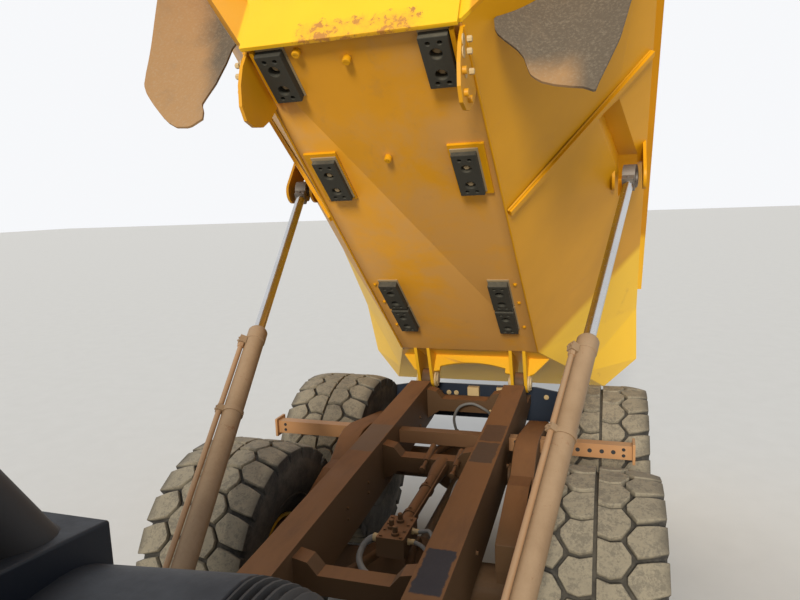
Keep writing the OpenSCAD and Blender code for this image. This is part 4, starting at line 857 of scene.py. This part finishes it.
def make_deck():
    """The dark deck behind the cab, with a box, a ribbed end and a leaning duct."""
    back, front, top, foot, r = 4.800, 5.555, 2.706, 1.955, 0.200
    outline = [(back, foot), (front, foot)]
    for x, start in ((front - r, 0), (back + r, 90)):
        for k in range(10):
            u = math.radians(start + 10 * k)
            outline.append((x + r * math.cos(u), top - r + r * math.sin(u)))
    deck = Shape(TRUCK)
    # its top rises a little towards the ribbed end
    deck.loft([[(x, y, z - fall * (z - foot)) for x, z in outline]
               for y, fall in ((-1.035, 0.051), (-0.4, 0.051), (0.2, 0.051), (0.640, 0.0))])
    box = ((4.842, 2.5), (5.25, 2.5), (5.25, 2.772), (4.842, 2.722))
    deck.loft([[(x, y, z) for x, z in box] for y in (-0.06, 0.205)])
    deck.done("deck_hull", "deck", "front_unit", "deck_paint", bevel=0.008, angle=40,
              replaces=("rear_deck",))
    ribs = Shape(TRUCK)
    mid_x, mid_z = (back + front) / 2, (top + foot) / 2
    rings = []
    for k in range(25):
        y = 0.638 + 0.135 * k / 24
        size = (1.0 if k % 4 in (1, 2) else 0.962) - 0.05 * (k / 24) ** 2
        rings.append([(mid_x + (x - mid_x) * size, y, mid_z + (z - mid_z) * size) for x, z in outline])
    ribs.loft(rings)
    ribs.done("deck_ribs", "duct", "front_unit", "deck_paint", bevel=0, angle=60)
    duct = Shape(TRUCK)
    duct.turned((4.960, 0.095, 2.640), (0.50, -0.06, 0.84), (
        (0, 0.094), (0.060, 0.092), (0.064, 0.089), (0.42, 0.088), (0.46, 0.080), (0.4601, 0)), 40)
    duct.done("deck_duct", "duct", "front_unit", "deck_paint", bevel=0.002)


# Hoses on the rear frame: radius and route
HOSES = (
    (0.013, ((0.0803, 0.255, 1.450), (0.130, 0.255, 1.452), (0.170, 0.215, 1.500), (0.180, 0.100, 1.550),
             (0.175, -0.020, 1.510), (0.165, -0.080, 1.400), (0.110, -0.080, 1.270), (0.060, -0.070, 1.225),
             (0.060, -0.070, 1.1773))),
    (0.013, ((2.300, 0.1403, 1.370), (2.300, 0.190, 1.370), (2.340, 0.270, 1.400), (2.420, 0.312, 1.370),
             (2.470, 0.318, 1.290), (2.500, 0.330, 1.210), (2.500, 0.3645, 1.210))),
    (0.013, ((2.400, 0.1403, 1.350), (2.400, 0.190, 1.350), (2.450, 0.270, 1.340), (2.500, 0.305, 1.265),
             (2.540, 0.325, 1.170), (2.540, 0.3645, 1.170))),
    (0.013, ((1.650, 0.3645, 1.455), (1.650, 0.325, 1.455), (1.760, 0.308, 1.462), (1.950, 0.308, 1.420),
             (2.110, 0.318, 1.340), (2.160, 0.330, 1.310), (2.160, 0.3645, 1.310))),
    (0.020, ((2.400, -0.0403, 1.350), (2.400, -0.090, 1.350), (2.450, -0.135, 1.320),
             (2.570, -0.120, 1.290), (2.700, -0.020, 1.285), (2.780, 0.140, 1.290),
             (2.800, 0.290, 1.290), (2.800, 0.3647, 1.290))))


def smooth_path(points, steps=8):
    """A smooth curve through the points."""
    points = [Vector(p) for p in points]
    ends = [points[0] * 2 - points[1]] + points + [points[-1] * 2 - points[-2]]
    path = []
    for a, b, c, d in zip(ends, ends[1:], ends[2:], ends[3:]):
        for k in range(steps):
            u = k / steps
            path.append(0.5 * (2 * b + (c - a) * u + (2 * a - 5 * b + 4 * c - d) * u ** 2
                               + (3 * b - a - 3 * c + d) * u ** 3))
    return path + [points[-1]]


def make_hoses():
    """Hoses along their routes, with a nut and a collar at each end."""
    hoses, ends = Shape(TRUCK), Shape(TRUCK)
    for r, route in HOSES:
        path = smooth_path(route)
        hoses.tube(path, r, 16)
        for a, b in ((path[0], path[3]), (path[-1], path[-4])):
            out = (b - a).normalized()
            ends.tube([a + out * 0.001, a + out * 0.014], r * 1.75, 6)
            ends.turned(a + out * 0.014, out, ((0, r * 1.3), (0.030, r * 1.3), (0.034, r * 1.05)), 18)
    hoses.done("hoses", "hose", "rear_unit", "rubber", bevel=0, replaces=("frame_hoses",), angle=60)
    ends.done("hose_ends", "cream", "rear_unit", "steel", bevel=0.001)


def make_frame_details():
    """Fittings between the rails, and the bar's bolts and holes."""
    parts = Shape(TRUCK)
    # head, clamps and pipe on the arm between the rails
    a, b = Vector((1.380, 0.110, 1.436)), Vector((2.200, 0.050, 1.335))
    out = (b - a).normalized()
    parts.turned(a - out * 0.030, out, (
        (0, 0.050), (0.010, 0.060), (0.120, 0.064), (0.200, 0.056), (0.260, 0.0465)), 28)
    for place in (0.42, 0.82):
        at = a.lerp(b, place)
        parts.turned(at, out, ((0, 0.046), (0.001, 0.053), (0.034, 0.053), (0.035, 0.046)), 28)
        parts.bolt(at + Vector((0.017, 0, 0.052)), (0, 0, 1), 0.009)
    parts.tube([a + Vector((0.1, 0.055, 0.045)), a.lerp(b, 0.5) + Vector((0, 0.052, 0.035)),
                b + Vector((-0.02, 0.050, 0.04))], 0.007, 8)
    # two short cylinders beside its head
    for y, x in ((-0.010, 1.18), (0.235, 1.24)):
        parts.rod((x, y, 1.500), (x + 0.230, y, 1.462), 0.026)
        parts.rod((x + 0.225, y, 1.463), (x + 0.330, y, 1.446), 0.015)
        parts.turned((x + 0.320, y, 1.447), (1, 0, -0.16), ((0, 0.024), (0.032, 0.024), (0.036, 0.014)), 18)
        parts.block((x + 0.02, y - 0.035, 1.440), (x + 0.09, y + 0.035, 1.480))
    # ports and screws on the valve block
    for x in (2.22, 2.30, 2.38, 2.46):
        for y in (-0.015, 0.115):
            parts.bolt((x, y, 1.399), (0, 0, 1), 0.010)
    for x, y in ((2.255, 0.05), (2.345, 0.02), (2.425, 0.07)):
        parts.turned((x, y, 1.399), (0, 0, 1), (
            (0, 0.026), (0.018, 0.026), (0.019, 0.017), (0.055, 0.017), (0.060, 0.012)), 20)
    # bolts along the inner and outer webs of the rails
    for sign in (1, -1):
        for x in (0.35, 0.75, 1.75, 2.15, 3.20):
            for z in (1.44, 1.36):
                parts.bolt((x, sign * 0.3655, z - 0.05 * (x - 0.35) * 0.5), (0, -sign, 0), 0.011)
        for x in (0.60, 1.10, 2.35, 2.85):
            parts.bolt((x, sign * 0.5645, 1.40 - 0.04 * x), (0, sign, 0), 0.014)
    parts.done("frame_fittings", "frame", "rear_unit", "dark_frame", bevel=0.0015)
    holes = Shape(TRUCK)
    bar_face = 0.9865
    for y in (1.10, 1.19, 1.28, 1.365):
        holes.turned((bar_face, y, 1.491), (1, 0, 0), (
            (0, 0.017), (0.0015, 0.017), (0.0018, 0.013), (0.0006, 0.0125), (0.0006, 0)), 20)
    for sign in (1, -1):
        for y in (1.44, 0.62):
            for z in (1.468, 1.516):
                holes.bolt((bar_face, sign * y, z), (1, 0, 0), 0.009)
    holes.done("bar_bolts", "black plastic", "rear_unit", "steel", bevel=0.0008)


def make_cab_details():
    """The door's pull and lock, on the side away from its hinge, and the bumper's bolts."""
    hinge = JOINTS["door_swing"]["pos_m"][0] - REAR_AXLE
    x = 6.115 if hinge > 6.4 else 6.835
    handle = Shape(TRUCK)
    grip = ((0.778, 2.28), (0.822, 2.28), (0.826, 2.31), (0.826, 2.49), (0.822, 2.52), (0.778, 2.52))
    handle.tube([(x, y, z) for y, z in grip], 0.011, 12)
    handle.turned((x, 0.779, 2.20), (0, 1, 0), (
        (0, 0.026), (0.010, 0.026), (0.012, 0.020), (0.0125, 0)), 24)
    handle.done("door_pull", "black plastic", "door", "black_plastic", bevel=0.001)
    bolts = Shape(TRUCK)
    for y in (-1.05, -0.62, 0.62, 1.05):
        for z in (0.80, 1.12):
            bolts.bolt((9.331, y, z), (1, 0, 0), 0.017)
    bolts.done("nose_bolts", "steel", "front_unit", "steel", bevel=0.001)


def make_beam_caps():
    """The raised middle of each walking beam, that hides the bar's inner end."""
    caps = Shape(TRUCK)
    outline = ((0.160, 1.260), (0.160, 1.400), (0.230, 1.440), (0.960, 1.570), (1.120, 1.575),
               (1.240, 1.540), (1.560, 1.330), (1.560, 1.260))
    for across in ((0.632, 0.815), (-0.815, -0.632)):
        caps.loft([[(x, y, z) for x, z in outline] for y in across])
    caps.done("beam_caps", "frame", "rear_unit", "rusty_bar", bevel=0.012)


# Turns for a plate that faces ahead, whose outline is given across and up, or up and across
ACROSS_AND_UP = Matrix(((0, 0, 1, 0), (1, 0, 0, 0), (0, 1, 0, 0), (0, 0, 0, 1)))
UP_AND_ACROSS = Matrix(((0, 0, 1, 0), (0, 1, 0, 0), (1, 0, 0, 0), (0, 0, 0, 1)))


def make_tail():
    """The dark plate across the frame's tail with its bolts, and the rings of the bed's hinge."""
    plate = Shape(TRUCK)
    x = -0.560
    outline = ((-0.93, 1.17), (0.93, 1.17), (0.93, 1.475), (0.62, 1.530), (-0.62, 1.530), (-0.93, 1.475))
    plate.plate(outline, 0.020, Matrix.Translation((x, 0, 0)) @ ACROSS_AND_UP)
    plate.done("tail_plate", "tail plate", "rear_unit", "dark_frame", bevel=0.004)
    bits = Shape(TRUCK)
    for y in (-0.30, -0.22, 0.22, 0.30, 0.72, 0.86):
        bits.bolt((x + 0.020, y, 1.43), (1, 0, 0), 0.017)
    bits.block((x + 0.019, -0.085, 1.40), (x + 0.085, 0.035, 1.515))
    bits.block((x + 0.019, 0.215, 1.47), (x + 0.060, 0.285, 1.515))
    bits.done("tail_bolts", "cream", "rear_unit", "steel", bevel=0.004)
    rings = Shape(BED_TURN)
    for sign in (1, -1):
        for y, out in ((0.559, 1), (0.397, -1)):
            rings.turned((0, sign * y, 0), (0, sign * out, 0), (
                (-0.001, 0.088), (0.016, 0.088), (0.020, 0.082), (0.021, 0.060), (0.032, 0.058),
                (0.034, 0.048), (0.0341, 0)), 36)
            for k in range(4):
                u = math.radians(45 + 90 * k)
                rings.bolt((0.071 * math.cos(u), sign * (y + out * 0.020), 0.071 * math.sin(u)),
                           (0, sign * out, 0), 0.008, washer=False)
    rings.done("hinge_rings", "cream", "bed", "worn_yellow", bevel=0.002)


def make_bed_details():
    """Panel and bolts on the front plate, guide bolts, eyelets and weld seams."""
    rake = math.atan(0.12)
    trim = Shape(BED_TURN @ Matrix.Translation((4.093, 0, FLOOR_H)) @ Matrix.Rotation(rake, 4, "Y"))
    face = 0.027
    outline = ((0.265, -0.305), (0.650, -0.305), (0.650, 0.305), (0.265, 0.305))
    trim.plate(outline, 0.004, Matrix.Translation((face, 0, 0)) @ UP_AND_ACROSS)
    for y in (-0.28, 0.28):
        for z in (0.29, 0.45, 0.61):
            trim.bolt((face + 0.003, y, z), (1, 0, 0), 0.010)
    for y in (-0.54, 0.54):
        trim.bolt((face, y, 0.33), (1, 0, 0), 0.012)
    trim.done("wall_trim", "front plate", "bed", "worn_yellow", bevel=0.001)
    guides = Shape(BED_TURN)
    for sign in (1, -1):
        for s, h in ((3.895, -0.012), (3.985, 0.030), (4.020, 0.078)):
            guides.turned((s, sign * 0.646, h), (0, sign, 0), (
                (0, 0.017), (0.022, 0.017), (0.026, 0.013), (0.0265, 0)), 6)
            guides.turned((s, sign * 0.624, h), (0, sign, 0), ((0, 0.030), (0.006, 0.030), (0.0065, 0)), 24)
    guides.done("guide_bolts", "cream", "bed", "worn_yellow", bevel=0.001)
    strips = Shape(BED_TURN)
    for sign in (1, -1):
        y0, y1 = sorted((sign * 0.556, sign * 0.580))
        strips.block((3.700, y0, 0.112), (4.060, y1, 0.1455))
        for s in (0.905, 1.330, 1.620):
            strips.bolt((s, sign * 0.600, 0.1455), (0, 0, -1), 0.012)
    # eyelets and bosses on the floor
    for s, y in ((3.940, -0.040), (3.160, -0.030), (4.020, -0.310)):
        strips.turned((s, y, 0.1205), (0, 0, -1), (
            (0, 0.024), (0.010, 0.024), (0.014, 0.019), (0.014, 0.009), (0.002, 0.008), (0.0015, 0)), 20)
    # weld seams along the edges of the floor, and one up each slope
    for sign in (1, -1):
        strips.tube([(0.42, sign * 0.681, 0.143), (2.2, sign * 0.654, 0.143), (4.05, sign * 0.6255, 0.143)],
                    0.009, 8)
        strips.tube([(2.56, sign * 0.66, 0.150), (2.765, sign * 1.585, slope_height(2.765, 1.585) - 0.006)],
                    0.008, 8)
    strips.done("floor_trim", "bed side", "bed", "worn_yellow", bevel=0.001)


def add_stage():
    """The pale floor, the white surroundings and the lamps."""
    bpy.ops.mesh.primitive_plane_add(size=300, location=(0, 0, -0.002))
    floor = bpy.context.object
    floor.name = "floor"
    f = Finish("floor")
    grain = f.noise(3.0, 6, 0.6)
    f.set(Base_Color=f.mix(grain, (0.62, 0.60, 0.56), (0.56, 0.54, 0.50)), Roughness=0.9)
    floor.data.materials.append(f.material)
    world = bpy.data.worlds.new("studio")
    bpy.context.scene.world = world
    world.use_nodes = True
    nodes = world.node_tree.nodes
    back = nodes["Background"]
    path = nodes.new("ShaderNodeLightPath")
    mix = nodes.new("ShaderNodeMix")
    mix.data_type = "RGBA"
    mix.inputs[6].default_value = (0.50, 0.53, 0.58, 1)
    mix.inputs[7].default_value = (0.93, 0.94, 0.96, 1)
    seen = path.outputs["Is Camera Ray"]
    for kind in ("Is Glossy Ray", "Is Transmission Ray"):
        either = nodes.new("ShaderNodeMath")
        either.operation = "MAXIMUM"
        world.node_tree.links.new(seen, either.inputs[0])
        world.node_tree.links.new(path.outputs[kind], either.inputs[1])
        seen = either.outputs[0]
    world.node_tree.links.new(seen, mix.inputs[0])
    world.node_tree.links.new(mix.outputs[2], back.inputs["Color"])
    lamp("key", (0.95, 0.07, 0.37), 3.3, 14.0, (1.0, 0.95, 0.86))
    lamp("back fill", (-0.7, -0.5, 0.9), 0.7, 40.0, (0.9, 0.95, 1.0))


def lamp(name, towards, strength, softness, colour):
    """A distant lamp that shines from the given direction."""
    data = bpy.data.lights.new(name, "SUN")
    data.energy = strength
    data.angle = math.radians(softness)
    data.color = colour
    made = bpy.data.objects.new(name, data)
    made.rotation_mode = "QUATERNION"
    made.rotation_quaternion = Vector(towards).to_track_quat("Z", "Y")
    bpy.context.scene.collection.objects.link(made)


def main():
    """Set the stage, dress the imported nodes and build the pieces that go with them."""
    bpy.context.scene.view_settings.view_transform = "Standard"
    add_camera()
    add_stage()
    make_finishes()
    dress_nodes()
    for wheel, x, side in WHEELS:
        make_tyre(wheel, x, side)
        make_wheel_nuts(wheel, x, side)
    for side in SIDES:
        make_flap(*side)
        make_hoist(*side)
    make_deck()
    make_hoses()
    make_frame_details()
    make_pads()
    make_cab_details()
    make_beam_caps()
    make_tail()
    make_bed_details()


main()
